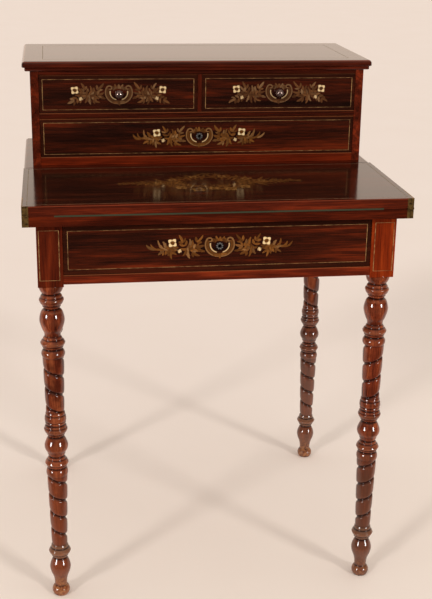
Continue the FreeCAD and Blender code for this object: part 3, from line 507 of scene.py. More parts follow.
dress(lower_leaf_wood, "rear_ledge", edge=4.5)
for node, finish in rails.items():
    dress(finish, node)
dress(lower_leaf_wood, "lower_leaf", edge=1.6)
dress(mahogany, "side_apron_left", "side_apron_right", "case_side_left")
dress(pale_side_wood, "case_side_right")
dress(divider_wood, "case_divider")
dress(cornice_wood, "cornice_moulding", edge=0.3)
dress(leaf_veneer, "flap_leaf", edge=1.6)
dress(case_veneer, "case_top", edge=0)
dress(walnut["X"], "rear_apron", "case_back", "case_bottom", "case_dust_board", "drawer_stops")
dress(walnut["Y"], "drawer_runner_left", "drawer_runner_right")
dress(brass, "lower_hinge_left", "lower_hinge_right", "flap_hinge_left", "flap_hinge_right", edge=1.4)
dress(dark_steel, "hinge_pins", edge=0)
dress(brass, "lower_hinge_screws", "flap_hinge_screws", edge=0)
print("frame dressed")

# %% Drawers
for drawer, finish in fronts.items():
    dress(finish, f"{drawer}_front")
    dress(lining["Y"], f"{drawer}_sides", f"{drawer}_bottom", edge=0.4)
    dress(lining["X"], f"{drawer}_back", edge=0.4)
dress(dark_steel, "frieze_lock_case", "long_lock_case", "frieze_lock_bolt", "long_lock_bolt", edge=0)
dress(blued_steel, "frieze_escutcheon", "long_escutcheon", edge=0)
print("drawers dressed")

# %% [markdown]
# ## The turned legs
#
# Each leg is a row of turned members between a square block and a small foot,
# with two lengths of rope twist. A Screw modifier could turn the outline, but
# it can't cut the winding groove, so the leg is built ring by ring: the outline
# gives a radius at each height, and in the twists the radius dips where the
# groove passes. Each point also keeps how deep it lies, which the finish uses for
# the dark wax that gathers in the hollows.

# %% Outline of a leg
VASE = ((0.11, 0.62), (0.415, 1.0), (0.72, 0.55), (0.88, 0.1))
BALL = ((0.1, 0.36), (0.22, 0.66), (0.43, 1.0), (0.62, 0.9), (0.78, 0.48), (0.9, 0.3))
DROP = ((0.11, 0.46), (0.22, 0.82), (0.35, 1.0), (0.5, 0.8), (0.68, 0.29), (0.82, 0.05))
# From the block down: how a member is turned, its shape, its height, its widest place and its lower end.
# A ridge's shape is how far down its edge lies, and how full it is above and below. A swell's is how full
# it is at places on the way down. A twist's is its pitch and how far its groove is turned, in degrees.
LEG_MEMBERS = (
    ("bow", (0.25, 0.6), 16.0, 42.0, 29.0),
    ("ridge", (0.42, 0.7, 0.62), 27.0, 42.6, 25.5),
    ("swell", VASE, 49.3, 43.2, 27.6),
    ("ridge", (0.51, 0.54, 0.66), 23.2, 42.9, 31.8),
    ("bead", None, 14.5, 40.5, 37.6),
    ("twist", (34.8, 225), 103.7, 37.6, 32.4),
    ("ridge", (0.62, 0.72, 0.8), 24.0, 38.1, 33.4),
    ("ridge", (0.41, 0.76, 0.63), 23.0, 41.4, 26.6),
    ("swell", BALL, 38.5, 41.4, 26.2),
    ("ridge", (0.59, 0.62, 0.62), 21.7, 41.6, 32.0),
    ("bead", None, 15.3, 38.3, 36.4),
    ("twist", (34.8, 0), 140.0, 36.4, 28.4),
    ("ridge", (0.5, 0.44, 0.63), 27.5, 39.8, 24.8),
    ("swell", DROP, 57.5, 37.8, 22.2),
    ("bead", None, 20.0, 32.0, 25.0),
)
BLOCK_SIDE, FRIEZE_TOP = 43.0, corners("leg_front_left")[1].z
BLOCK_LOW = sum(member[2] for member in LEG_MEMBERS)
RING_STEP = 0.75


def shares(steps, first=1):
    """The share of the way at each of so many steps."""
    return [step / steps for step in range(first, steps + 1)]


def bent(start, pull, end, t):
    """A place at a share of the way along a bow, which leans towards the pull."""
    return tuple((1 - t) ** 2 * s + 2 * t * (1 - t) * p + t * t * e for s, p, e in zip(start, pull, end))


def bow(start, middle, end):
    """Points on a round stretch that starts, passes the middle and ends."""
    pull = [2 * m - (s + e) / 2 for s, m, e in zip(start, middle, end)]
    steps = max(4, round(math.dist(start, middle) * 2 / RING_STEP))
    return [bent(start, pull, end, t) for t in shares(steps)]


def flow(points):
    """Points on a smooth curve through the given ones."""
    ends = [points[0], *points, points[-1]]
    for before, first, last, after in zip(ends, ends[1:], ends[2:], ends[3:]):
        for t in shares(max(3, round(math.dist(first, last) / RING_STEP))):
            yield tuple(
                0.5 * (2 * b + (c - a) * t + (2 * a - 5 * b + 4 * c - d) * t * t
                       + (3 * b - a - 3 * c + d) * t ** 3)
                for a, b, c, d in zip(before, first, last, after)
            )


def between(start, end, out, down):
    return (start[0] + (end[0] - start[0]) * out, start[1] + (end[1] - start[1]) * down)


def member_points(kind, shape, start, end, widest):
    """The outline of one member, as radius and height."""
    if kind == "bow":
        return bow(start, between(start, end, *shape), end)
    if kind == "bead":
        return bow(start, (widest, (start[1] + end[1]) / 2), end)
    if kind == "ridge":
        down, upper, lower = shape
        edge = (widest, start[1] + (end[1] - start[1]) * down)
        upper_middle, lower_middle = between(start, edge, upper, 0.5), between(end, edge, lower, 0.5)
        return bow(start, upper_middle, edge) + bow(edge, lower_middle, end)
    if kind == "swell":
        full = []
        for down, out in shape:
            neck, height = between(start, end, down, down)
            full.append((neck + (widest - neck) * out, height))
        return list(flow([start, *full, end]))
    return [between(start, end, t, t) for t in shares(round((start[1] - end[1]) / RING_STEP))]


# The turner's lines on a ridge: where they lie as shares of its height, and how deep and how wide they are.
LINE_PLACES, LINE_DEPTH, LINE_SPREAD = (0.25, 0.75), 1.3, 0.06


def line_cut(along):
    """How deep the turner's lines are at a share of a ridge's height."""
    return sum(LINE_DEPTH * math.exp(-(((along - place) / LINE_SPREAD) ** 2)) for place in LINE_PLACES)


def leg_outline():
    """The outline from the block to the floor: radius, height and twist."""
    here = (BLOCK_SIDE / 2 - 0.5, BLOCK_LOW)
    rings = [(here[0] - 1.0, BLOCK_LOW + 1.0, None), (*here, None)]
    for kind, shape, height, widest, low in LEG_MEMBERS:
        end = (low / 2, here[1] - height)
        twist = (end[1], *shape) if kind == "twist" else None
        for radius, level in member_points(kind, shape, here, end, widest / 2):
            cut = line_cut((here[1] - level) / height) if kind == "ridge" else 0.0
            rings.append((radius - cut, level, twist))
        here = end
    return rings


outline = leg_outline()
print("leg outline:", len(outline), "rings, from", round(BLOCK_LOW, 1), "to", round(outline[-1][1], 3), "mm")

# %% Groove of a twist
GROOVE_DEPTH, GROOVE_HALF, SHOULDER_DEPTH, SHOULDER_HALF = 2.7, 2.6, 0.7, 7.0


def groove_at(height, angle, twist, hand):
    """How deep the groove is at a place. hand is 1 where it rises to the right."""
    low, pitch, start = twist
    turn = (angle if hand > 0 else math.pi - angle) - math.radians(start)
    behind = ((height - low) / pitch - turn / math.tau) % 1.0
    away = min(behind, 1 - behind) * pitch * 0.96
    dip = GROOVE_DEPTH * math.exp(-((away / GROOVE_HALF) ** 2))
    return dip + SHOULDER_DEPTH * math.exp(-((away / SHOULDER_HALF) ** 2))


def neck_depth(rings, index, reach=6):
    """How far a ring lies inside the middle of the rings near it."""
    near = rings[max(0, index - reach):index + reach + 1]
    return sum(ring[0] for ring in near) / len(near) - rings[index][0]


depths = [neck_depth(outline, index) for index in range(len(outline))]
print("deepest neck:", round(max(depths), 2), "mm below its neighbours")

# %% [markdown]
# ### The finish of the legs
#
# The legs are stained, paler where hands rub and where a highlight is painted on
# the crests, and dark where wax has gathered. The feet have lost their stain to
# mops and shoes. The rear legs carry painted shade, and the ankle a painted grey
# sheen with some dust. One colour all over would look new, so four measures drive
# it: the grain along the leg, how deep a point lies, how high it is above the
# floor, and which leg it is on.

# %% Leg finish
LEG_WOOD = shades((0.4, 0.5, 0.6), (58, 20, 12), (112, 46, 25), (160, 83, 48))
BLOCK_WOODS = {
    "left": shades(FIGURED, (54, 16, 7), (82, 27, 11), (118, 44, 18)),
    "right": shades(FIGURED, (88, 25, 7), (124, 41, 12), (162, 66, 22)),
}
# GRIME_AND_SHADE is grime on the front right leg and painted shade on the rear legs; GREY_SHEEN_AND_DUST is a
# painted grey sheen with some dust.
AGED_RED, BROWNED, GRIME_AND_SHADE, GREY_SHEEN_AND_DUST = srgb(50, 18, 10), srgb(116, 62, 39), srgb(68, 56, 48), srgb(112, 97, 77)
DARK_WAX, RUBBED_AND_HIGHLIGHT, BARE_FOOT = srgb(32, 13, 9), srgb(150, 92, 62), srgb(164, 108, 66)
# The ankle is the last ridge: it stands on the drop and the foot.
ANKLE_LOW, ANKLE_HIGH = (sum(member[2] for member in LEG_MEMBERS[first:]) * MM for first in (-2, -3))


def leg_finish(name):
    """Stained wood under layers, each a changing share of one colour: age, grime, wear, and painted shade,
    sheen and highlight.
    """
    place = new_finish(name)
    x, y, z = split(place)
    colour, roughness, height = grain(place, "Z", LEG_WOOD)
    hollow, rubbed = measure(place, "hollow"), measure(place, "rubbed")
    aged = slope(noise(place, 34.0, 3.0), 0.42, 0.66)
    left_twist = slope(x, 0.0, -0.2) * slope(z, 0.28, 0.36) * slope(z, 0.52, 0.48)
    front_right = slope(x, 0.0, 0.2) * slope(y, 0.0, -0.15)
    # The rear legs are painted darker: painted shade. The front right leg's lower part is darker with grime.
    rear = slope(y, 0.0, 0.15) * slope(z, 0.5, 0.3)
    grime_and_rear_shade = front_right * slope(z, 0.32, 0.2) * 0.42 + rear * 0.38
    # The ankle's grey is a painted sheen, partly dust.
    ankle = (z > ANKLE_LOW) * (z < ANKLE_HIGH)
    scuffs = slope(noise(place, 160.0, 4.0, 0.7), 0.4, 0.62)
    low = slope(z, 0.012, 0.06, 1.0, 0.0)
    for share, tint in (
        (aged * 0.45 + left_twist * 0.32, AGED_RED),
        (slope(z, 0.14, 0.36, 0.6, 0.0), BROWNED),
        (grime_and_rear_shade, GRIME_AND_SHADE),
        (ankle * (0.4 - grime_and_rear_shade * 0.45), GREY_SHEEN_AND_DUST),
        (hollow * 0.95, DARK_WAX),
        # Crests paler: wear and a painted highlight.
        (rubbed * 0.5, RUBBED_AND_HIGHLIGHT),
        (low * scuffs * (0.75 - front_right * 0.45), BARE_FOOT),
    ):
        colour = blend(share, colour, tint)
    shine = {**POLISH, "Coat_Weight": 1.0 - hollow * 0.35, "Coat_Roughness": 0.07}
    return surface(colour, roughness + low * 0.2, height, **shine)


leg_polish = leg_finish("leg_polish")
block_polish = {side: wood(f"block_polish_{side}", "Z", given) for side, given in BLOCK_WOODS.items()}
print("leg finishes:", 1 + len(block_polish))

# %% Build the four legs
AROUND, BLOCK_EDGE = 96, 0.7
# How deep a neck is that wax fills, and how far a crest stands out that hands rub bare and that gets a
# painted highlight, in millimetres.
FULL_NECK, FULL_CREST = 0.9, 1.2
TWIST_HANDS = {"leg_front_left": -1, "leg_front_right": 1, "leg_rear_left": 1, "leg_rear_right": -1}


def angles(steps):
    """The angles of so many steps round a turning."""
    return [math.tau * step / steps for step in range(steps)]


def skin(mesh, rings, finish=0):
    """Smooth faces from each ring of points to the next, and flat lids on both ends, in one finish."""
    count = len(rings[0])
    for upper, lower in zip(rings, rings[1:]):
        for step in range(count):
            after = (step + 1) % count
            face = mesh.faces.new((upper[step], lower[step], lower[after], upper[after]))
            face.smooth = True
            face.material_index = finish
    for lid in (rings[0], rings[-1]):
        mesh.faces.new(lid).material_index = finish


def add_block(mesh, middle):
    """The square block at the top of a leg, eased while the mesh has no other edges."""
    size = Vector((BLOCK_SIDE, BLOCK_SIDE, FRIEZE_TOP - BLOCK_LOW)) * MM
    centre = middle + Vector((0, 0, (FRIEZE_TOP + BLOCK_LOW) / 2 * MM))
    bmesh.ops.create_cube(mesh, size=1, matrix=Matrix.LocRotScale(centre, None, size))
    rounding = {"offset": BLOCK_EDGE * MM, "segments": EASE_STEPS, "profile": 0.6}
    bmesh.ops.bevel(mesh, geom=list(mesh.edges), affect="EDGES", **rounding)


def turned_leg(name, hand):
    """A leg as one mesh: its block, then its turned length, ring by ring."""
    low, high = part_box(name)
    middle = Vector(((low.x + high.x) / 2, (low.y + high.y) / 2, 0))
    mesh = bmesh.new()
    hollow = mesh.verts.layers.float.new("hollow")
    rubbed = mesh.verts.layers.float.new("rubbed")
    add_block(mesh, middle)
    rings = []
    for (radius, height, twist), depth in zip(outline, depths):
        ring = []
        for angle in angles(AROUND):
            dip = groove_at(height, angle, twist, hand) if twist else 0.0
            reach = (radius - dip) * MM
            spot = Vector((reach * math.cos(angle), reach * math.sin(angle), height * MM))
            vert = mesh.verts.new(middle + spot)
            vert[hollow] = min(1, max(0, dip / GROOVE_DEPTH - 0.25, depth / FULL_NECK))
            # A crest's share is both wear and a painted highlight.
            vert[rubbed] = min(1, max(0, -depth / FULL_CREST))
            ring.append(vert)
        rings.append(ring)
    skin(mesh, rings, 1)
    block = block_polish[name.rsplit("_", 1)[1]]
    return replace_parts(piece(name + "_turned", mesh, "carcass", "red_wood", block, leg_polish), name)


turned = []
for name, hand in TWIST_HANDS.items():
    leg = turned_leg(name, hand)
    turned.append(leg)
    print(leg.name, len(leg.data.vertices), "points")

# %% [markdown]
# ## Inlay
#
# Lines of brass run round every drawer, and sprays of leaves in stained boxwood
# lie in the rosewood. Inlay could be painted into the veneer's material, but a
# line thinner than a millimetre needs a sharp edge, so each line and leaf is a
# thin closed plate let into its face and standing a hair proud of it. A
# collector gathers the plates of one panel into one mesh and remembers a tone
# for every point, because a marquetry cutter scorches each leaf in hot sand to
# shade it.

# %% Collect thin plates on a face
# How far a plate stands proud of its face and goes into it, and the steps that part one plate from the next.
RISE, SINK = 0.06, 0.6
LAYERS, LAYER = 230, 0.002


def on_front(node):
    """Places on the front face of a solid: across and up, and how far proud."""
    y = corners(node)[0].y
    return lambda across, along, proud: Vector((across, y - proud, along)) * MM


def on_top(node):
    """Places on the upper face of a solid: across and back, and how far proud."""
    z = corners(node)[1].z
    return lambda across, along, proud: Vector((across, along, z + proud)) * MM


class Inlay:
    """Thin closed plates let into one face, gathered into one mesh."""

    def __init__(self, place, middle=(0, 0), rim=0.0):
        self.place, self.middle, self.rim = place, middle, rim
        self.sign = 1
        self.mesh = bmesh.new()
        self.plates = 0
        self.tone = self.mesh.verts.layers.float.new("tone")
        self.pale = self.mesh.verts.layers.float.new("pale")

    def point(self, spot, tone, pale, proud):
        """A point on the right of the middle, or on the left of it where the sign is -1."""
        x, y = self.middle[0] + self.sign * spot[0], self.middle[1] + spot[1]
        made = self.mesh.verts.new(self.place(x, y, proud))
        made[self.tone] = tone
        made[self.pale] = pale
        return made

    def strip(self, first, last):
        """Faces between two rows of points."""
        for points in zip(first, first[1:], last[1:], last):
            self.mesh.faces.new(points)

    def plate(self, rows, tones, pales, closed=False):
        """A plate from rows of points, with a tone and a paleness for each place in a row. Closed rows make a
        ring. Each plate stands a little higher than the last, so that plates which cross stay apart."""
        self.plates += 1
        step = self.plates % LAYERS * LAYER
        top, under = (
            [[self.point(*given, proud) for given in zip(row, tones, pales)] for row in rows]
            for proud in (RISE + step, step - SINK)
        )
        for row in range(0 if closed else 1, len(rows)):
            for layer in (top, under):
                self.strip(layer[row - 1], layer[row])
            for side in (0, -1):
                self.strip(*([top[end][side], under[end][side]] for end in (row - 1, row)))
        for end in () if closed else (0, -1):
            self.strip(top[end], under[end])

    def ring(self, left, low, right, high):
        """A rectangular line with mitred corners, measured to its middle."""
        turns = ((left, low, 1, 1), (right, low, -1, 1), (right, high, -1, -1), (left, high, 1, -1))
        rows = [
            [(x + share * inward_x * UPRIGHT, y + share * inward_y * LEVEL) for share in (-0.5, 0.5)]
            for x, y, inward_x, inward_y in turns
        ]
        self.plate(rows, (1, 1), (0, 0), closed=True)


print("inlay stands", RISE, "mm proud")

# %% Brass lines on the drawers, the blocks, the leaf and the case
# The width of an upright line and of a level one, and how far lines lie inside the blocks and the tops.
UPRIGHT, LEVEL = 1.0, 0.6
OUTER, BELOW, INNER, ABOVE = 4.0, 12.1, 6.1, 12.2
TOP_LINES = (
    ("case_top_line", "case_top", "carcass", 38, 34),
    ("leaf_line", "flap_leaf", "flap", LEAF_INSET, LEAF_INSET),
)

for drawer in DRAWERS:
    line = Inlay(on_front(f"{drawer}_front"))
    line.ring(*line_places(drawer))
    piece(f"{drawer}_line", line.mesh, drawer, "brass", line_brass)

high = corners("leg_front_right")[1]
block_lines = Inlay(on_front("leg_front_right"))
for sign in (-1, 1):
    near, far = sorted(sign * end for end in (high.x - BLOCK_SIDE + INNER, high.x - OUTER))
    block_lines.ring(near, BLOCK_LOW + BELOW, far, high.z - ABOVE)
piece("block_lines", block_lines.mesh, "carcass", "brass", line_brass)

for name, node, body, across, along in TOP_LINES:
    low, high = corners(node)
    line = Inlay(on_top(node))
    line.ring(low.x + across, low.y + along, high.x - across, high.y - along)
    piece(name, line.mesh, body, "brass", top_brass)
print("brass lines laid")

# %% [markdown]
# ### Leaves, scrolls and flowers
#
# The marquetry is drawn the way a cutter draws it: a leaf is a bent middle line
# with a width that swells and dies away, often notched into lobes, darker along
# one side and scorched round its rim. A spray is a bunch of such leaves, and a
# scroll is a ribbon along a spiral. Every panel repeats one half-pattern on both
# sides of its middle, but no two leaves are cut quite alike.

# %% Shapes of the marquetry
LEAF_STEPS, hand_cut = 12, random.Random(7)
# The tones of a leaf on its left, along its middle and on its right.
LIT, SHADED, IVORY, HEART = (0.8, 0.5, 0.62), (0.46, 0.32, 0.4), (0.8, 1.0, 0.7), (0.55, 0.35, 0.45)


def ribbon(panel, middle, widths, tones, pale=0.0):
    """A strip along a middle line, with a width at each of its points and a scorched rim."""
    rows = []
    for index, (x, y) in enumerate(middle):
        before, after = middle[max(0, index - 1)], middle[min(len(middle) - 1, index + 1)]
        run = math.dist(before, after)
        out_x, out_y = -(after[1] - before[1]) / run, (after[0] - before[0]) / run
        half, rim = widths[index] / 2, widths[index] / 2 + panel.rim
        rows.append([(x + out_x * reach, y + out_y * reach) for reach in (rim, half, 0, -half, -rim)])
    panel.plate(rows, (0, *tones, 0), (0, pale, pale, pale, 0))


def band(panel, middle, width, tones, pale=0.0, taper=0.0):
    """A strip of one width, or one that grows narrower by so much at each point."""
    ribbon(panel, middle, [width - taper * step for step in range(len(middle))], tones, pale)


def leaf(panel, start, tip, width, bend=0.0, tones=LIT, pale=0.0, lobes=0):
    """One leaf from its stalk to its tip. It bends to the left by a share of its length."""
    (x, y), (u, v) = start, tip
    pull = ((x + u) / 2 - (v - y) * bend * 2, (y + v) / 2 + (u - x) * bend * 2)
    middle, widths = [], []
    for t in shares(LEAF_STEPS, 0):
        middle.append(bent(start, pull, tip, t))
        notch = 0.55 + 0.6 * (lobes * t % 1) if lobes else 1
        widths.append(max(0.2, width * notch * math.sin(math.pi * (0.12 + 0.88 * t)) ** 0.8))
    ribbon(panel, middle, widths, tones, pale)


def spray(panel, leaves, width, tones=LIT, lobes=3):
    """Leaves of about one width, each with its stalk, tip and bend. No two are cut quite alike."""
    for start, (u, v), bend in leaves:
        tip = (u + hand_cut.uniform(-1, 1), v + hand_cut.uniform(-1, 1))
        shade = hand_cut.uniform(0.5, 1.35)
        toned = [tone * shade for tone in (tones if bend < 0 else tones[::-1])]
        broad, pale = width * hand_cut.uniform(0.8, 1.2), max(0, hand_cut.uniform(-0.2, 0.16))
        leaf(panel, start, tip, broad, bend + hand_cut.uniform(-0.06, 0.06), toned, pale, lobes)


def sprig(panel, start, tip, pairs, length, width):
    """A stem with pairs of small leaves that lean towards its tip."""
    (x, y), (u, v) = start, tip
    way = math.degrees(math.atan2(v - y, u - x))
    for step in range(pairs):
        share = 0.75 * step / pairs
        stalk = (x + (u - x) * share, y + (v - y) * share)
        reach = length * (1 - 0.4 * share)
        pair = [(stalk, around(stalk, reach, way + swing), swing / 500) for swing in (52, -52)]
        spray(panel, pair, width, LIT, 0)
    spray(panel, [(stalk, tip, 0.05)], width, LIT, 0)


def around(centre, reach, turn, squash=1.0):
    """A place at so many degrees round a centre, on a circle that may be flattened."""
    angle = math.radians(turn)
    return (centre[0] + reach * math.cos(angle), centre[1] + reach * squash * math.sin(angle))


def scroll(centre, first, last, start, end, steps=16, squash=1.0):
    """Points on a spiral from one radius and angle to another."""
    spiral = ((first + (last - first) * t, start + (end - start) * t) for t in shares(steps, 0))
    return [around(centre, reach, turn, squash) for reach, turn in spiral]


def flower(panel, centre, size):
    """An open flower of four round petals with a golden heart."""
    for turn in (38, 128, 218, 308):
        stalk, tip = (around(centre, size * reach, turn) for reach in (0.06, 0.56))
        leaf(panel, stalk, tip, size * 0.44, 0, IVORY, 1.0)
    heart = (around(centre, size * 0.26, turn) for turn in (200, 20))
    leaf(panel, *heart, size * 0.36, 0, HEART)


def bud(panel, centre, size):
    """A closed white flower."""
    for turn in (24, 114):
        ends = (around(centre, size / 2, turn + half_turn) for half_turn in (180, 0))
        leaf(panel, *ends, size * 0.6, 0, IVORY, 0.7)


print("shapes: ribbon, band, leaf, spray, sprig, scroll, flower, bud")

# %% [markdown]
# ### The panels
#
# A scrolled frame holds the keyhole or the knob in the middle: a broad oval band
# with a bright line inside, curled in at the top, and a fan of small leaves as
# its crown. Bushy sprays with a white flower and a bud run out on both sides.
# The drawers share one frame, and the leaf has a larger wreath.

# %% Half-patterns
def cartouche(half):
    """Half of the scrolled frame round a keyhole or knob."""
    spray(half, (((0, 9), (0, 17), 0.0), ((2, 9), (7, 17), -0.1), ((5, 9), (11, 13), -0.1)), 3.4, LIT, 0)
    spray(half, (((4, 12), (9, 5), 0.1), ((9, 12), (12, 6), 0.1)), 2.8, SHADED, 0)
    band(half, scroll((0, 0.5), 22.6, 18.2, 30, -92, 20, 0.88), 5.2, SHADED)
    band(half, scroll((0, 0.5), 25.4, 20.6, 26, -92, 20, 0.88), 1.5, LIT, 0.12)
    band(half, scroll((16.6, 10.3), 6.0, 2.0, 0, 300, squash=0.85), 1.9, LIT, 0.12, 0.04)
    band(half, scroll((0, 0.5), 16.6, 13.4, 18, -68, 20, 0.9), 1.6, IVORY, 0.65, 0.02)
    spray(half, (((1, -16), (12, -15.5), 0.1), ((0, -14.5), (0, -20.5), 0.0)), 4.4, LIT, 2)


def inner_spray(half):
    """The bunch of leaves next to the frame, alike on every drawer."""
    spray(half, (((25, -9), (48, -6), 0.05), ((58, -4), (40, 1), -0.05)), 5.0, SHADED)
    sprig(half, (49, -4), (28, 20), 3, 11, 3.3)
    sprig(half, (56, -4), (69, 20), 3, 10, 3.1)
    sprig(half, (50, -5), (27, 2), 3, 10, 3.3)
    sprig(half, (53, -7), (34, -16), 2, 9, 3.1)
    spray(half, (((54, -2), (51, -20), 0.1), ((57, -5), (62, -16), -0.1), ((50, 2), (52, 14), 0.1)), 4.2)


def long_side(half):
    """The spray of the two wide drawers, with a trailing tip."""
    inner_spray(half)
    spray(half, (((70, -1), (95, 2), 0.0), ((72, -5), (98, -4), 0.0)), 5.0, SHADED)
    sprig(half, (88, -4), (72, -14), 2, 9, 3.1)
    sprig(half, (84, -3), (81, -20), 2, 9, 3.1)
    sprig(half, (86, -3), (105, -13), 3, 9, 3.0)
    spray(half, (((88, -5), (105, 12), -0.24), ((92, -1), (97, 9), 0.1)), 5.0)
    tail = (((95, -5), (112, -3), 0.05), ((105, -4), (116, 7), -0.16), ((110, -4), (124, 5), -0.16))
    spray(half, tail, 3.0, LIT, 0)
    flower(half, (80, 7.2), 15)
    bud(half, (68, -7), 7)


def short_side(half):
    """The spray of the small drawers, which ends in a hanging leaf."""
    inner_spray(half)
    spray(half, (((58, -3), (80, -3), 0.0), ((60, -4), (74, -13), -0.1)), 5.0, SHADED)
    sprig(half, (60, -3), (76, 13), 2, 9, 3.1)
    sprig(half, (70, -6), (94, -18), 3, 10, 3.5)
    flower(half, (80.5, 6.9), 14.5)
    bud(half, (70, -8.5), 7)


def leaf_side(half):
    """The wreath on the leaf: a ring of leaves and flowers, with long tails."""
    for turn in range(-84, 85, 14):
        stalk = around((0, 0), 64, turn, 0.625)
        spray(half, [
            (stalk, around(stalk, reach, turn + swing), bend)
            for reach, swing, bend in ((22, 200, 0.1), (20, 130, -0.1), (24, -46, 0.12), (26, 38, -0.12))
        ], 7.0)
    spray(half, [((76, 0), around((80, 0), 38, turn), -0.1) for turn in (62, 36, 12, -12, -36, -62)], 8.0)
    for along in range(7):
        stalk, reach = (104 + along * 8.6, 3 * math.sin(along * 1.9)), 22 - along * 2.0
        tail = ((62, -0.14), (-58, 0.14), (4, 0.1))
        spray(half, [(stalk, around(stalk, reach, turn), bend) for turn, bend in tail], 5.6)
    for x, y, size in ((28, -56, 24), (0, -48, 20), (56, -40, 20), (66, 20, 17), (26, 42, 17), (92, 2, 15)):
        flower(half, (x, y), size)
    band(half, scroll((0, 50), 16, 16, -90, 90, 20), 3.0, LIT)


print("half-patterns: wide drawers, small drawers, leaf")

# %% Marquetry finish
def marquetry(name, stained, deep, ivory):
    """Stained boxwood, shaded by the tone of each point, and ivory-white petals."""
    place = new_finish(name)
    tone, white = measure(place, "tone"), measure(place, "pale")
    flecks = noise(place, 420.0, 3.0, 0.6)
    stained, deep, ivory = (srgb(*colour) for colour in (stained, deep, ivory))
    veneer = blend(tone * (0.55 + flecks * 0.8), deep, stained)
    petal = blend(tone * (0.8 + flecks * 0.4), stained, ivory)
    return surface(blend(white, veneer, petal), 0.3 + flecks * 0.2, flecks, 0.05, **POLISH)


boxwood = marquetry("stained_boxwood", (138, 86, 38), (40, 16, 7), (234, 206, 154))
faded_boxwood = marquetry("faded_boxwood", (116, 74, 42), (36, 16, 9), (226, 196, 146))
leaf_boxwood = marquetry("darkened_boxwood", (116, 72, 32), (38, 17, 8), (122, 84, 42))
print("marquetry finishes: 3")

# %% Lay the marquetry
LEAF_WREATH = (0, -138)
# How wide the scorched rim of a leaf is, in millimetres: on the drawers, on the leaf and on the key plates.
FRONT_RIM, LEAF_RIM, PETAL_RIM = 0.75, 0.4, 0.05


def front_middle(node):
    """The middle of the front face of a solid, across and up."""
    low, high = corners(node)
    return ((low.x + high.x) / 2, (low.z + high.z) / 2)


def lay(name, body, place, middle, patterns, finish, rim):
    """One panel: every pattern on both sides of the middle."""
    panel = Inlay(place, middle, rim)
    for sign in (-1, 1):
        panel.sign = sign
        for pattern in patterns:
            pattern(panel)
    made = piece(name, panel.mesh, body, "brass", finish)
    print(made.name, len(made.data.polygons), "faces")


for drawer in DRAWERS:
    front = f"{drawer}_front"
    side, finish = (short_side, faded_boxwood) if drawer.startswith("small") else (long_side, boxwood)
    patterns = (side, cartouche)
    lay(f"{drawer}_marquetry", drawer, on_front(front), front_middle(front), patterns, finish, FRONT_RIM)
lay("leaf_marquetry", "flap", on_top("flap_leaf"), LEAF_WREATH, (leaf_side,), leaf_boxwood, LEAF_RIM)

# %% Key plates
def rosette(drawer, plate):
    """Small steel petals round a keyhole."""
    low, high = corners(plate)
    reach = (high.x - low.x) / 2
    petals = Inlay(on_front(plate), front_middle(plate), PETAL_RIM)
    for turn in range(10, 370, 40):
        ends = (around((0, 0), reach * share, turn) for share in (0.5, 0.98))
        leaf(petals, *ends, reach * 0.3)
    piece(f"{plate}_petals", petals.mesh, drawer, "steel", pale_steel)


for drawer, plate in (("frieze_drawer", "frieze_escutcheon"), ("long_drawer", "long_escutcheon")):
    rosette(drawer, plate)
print("key plates: 2")

# %% [markdown]
# ## Knobs
#
# The two small drawers have turned brass knobs. A sphere on a stick would do
# from afar, but a real knob has a rose against the wood, a waisted stem and a
# flattened ball, so its outline is turned like the legs' and fills the place
# that the solid has.

# %% Turn the knobs
KNOB_AROUND = 48
# A knob's outline: how far out from the front, and how wide, as shares of its length and of its half-width.
KNOB_OUTLINE = (
    (0.0, 0.72), (0.06, 0.74), (0.11, 0.66), (0.15, 0.46), (0.24, 0.36), (0.36, 0.36), (0.44, 0.5),
    (0.5, 0.74), (0.58, 0.93), (0.68, 1.0), (0.78, 0.97), (0.88, 0.83), (0.95, 0.6), (0.985, 0.32),
    (1.0, 0.06),
)


def turned_knob(name, body):
    """A knob that stands out from its drawer in the place of the solid one."""
    low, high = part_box(name)
    half = (high.x - low.x) / 2
    middle = Vector((low.x + half, high.y, (low.z + high.z) / 2))
    mesh = bmesh.new()
    rings = []
    for out, wide in KNOB_OUTLINE:
        reach, forward = half * wide, (low.y - high.y) * out
        spots = (Vector((reach * math.cos(a), forward, reach * math.sin(a))) for a in angles(KNOB_AROUND))
        rings.append([mesh.verts.new(middle + spot) for spot in spots])
    skin(mesh, rings)
    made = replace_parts(piece(name + "_turned", mesh, body, "brass", knob_brass), name)
    made.modifiers.new("rounder", "SUBSURF").render_levels = 1
    return made


for side in ("left", "right"):
    knob = turned_knob(f"small_knob_{side}", f"small_drawer_{side}")
    turned.append(knob)
    print(knob.name)

# %% [markdown]
# ## Baize
#
# Open, the leaf and the table under it make one writing surface, each lined with
# a sheet of green baize glued into a shallow recess. A flat plane would show no
# edge between the closed leaves, so each sheet is a thin slab of the real
# thickness, in small squares, and its finish gives it a nap.

# %% Lay the baize
SQUARES_ACROSS, SQUARES_ALONG = 60, 26


def baize_sheet(name, node, body):
    """A slab of cloth in the place of the solid one."""
    low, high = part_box(node)
    mesh = bmesh.new()
    middle = Vector(((low.x + high.x) / 2, (low.y + high.y) / 2, low.z))
    under = Matrix.LocRotScale(middle, None, high - low)
    bmesh.ops.create_grid(mesh, x_segments=SQUARES_ACROSS, y_segments=SQUARES_ALONG, size=0.5, matrix=under)
    raised = bmesh.ops.extrude_face_region(mesh, geom=list(mesh.faces))["geom"]
    for vert in (part for part in raised if isinstance(part, bmesh.types.BMVert)):
        vert.co.z = high.z
    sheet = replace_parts(piece(name, mesh, body, "baize", baize), node)
    return sheet


for name, node, body, rests_on in (
    ("lower_baize_sheet", "lower_baize", "carcass", "lower_leaf"),
    ("flap_baize_sheet", "flap_baize", "flap", "flap_leaf"),
):
    print(baize_sheet(name, node, body).name)

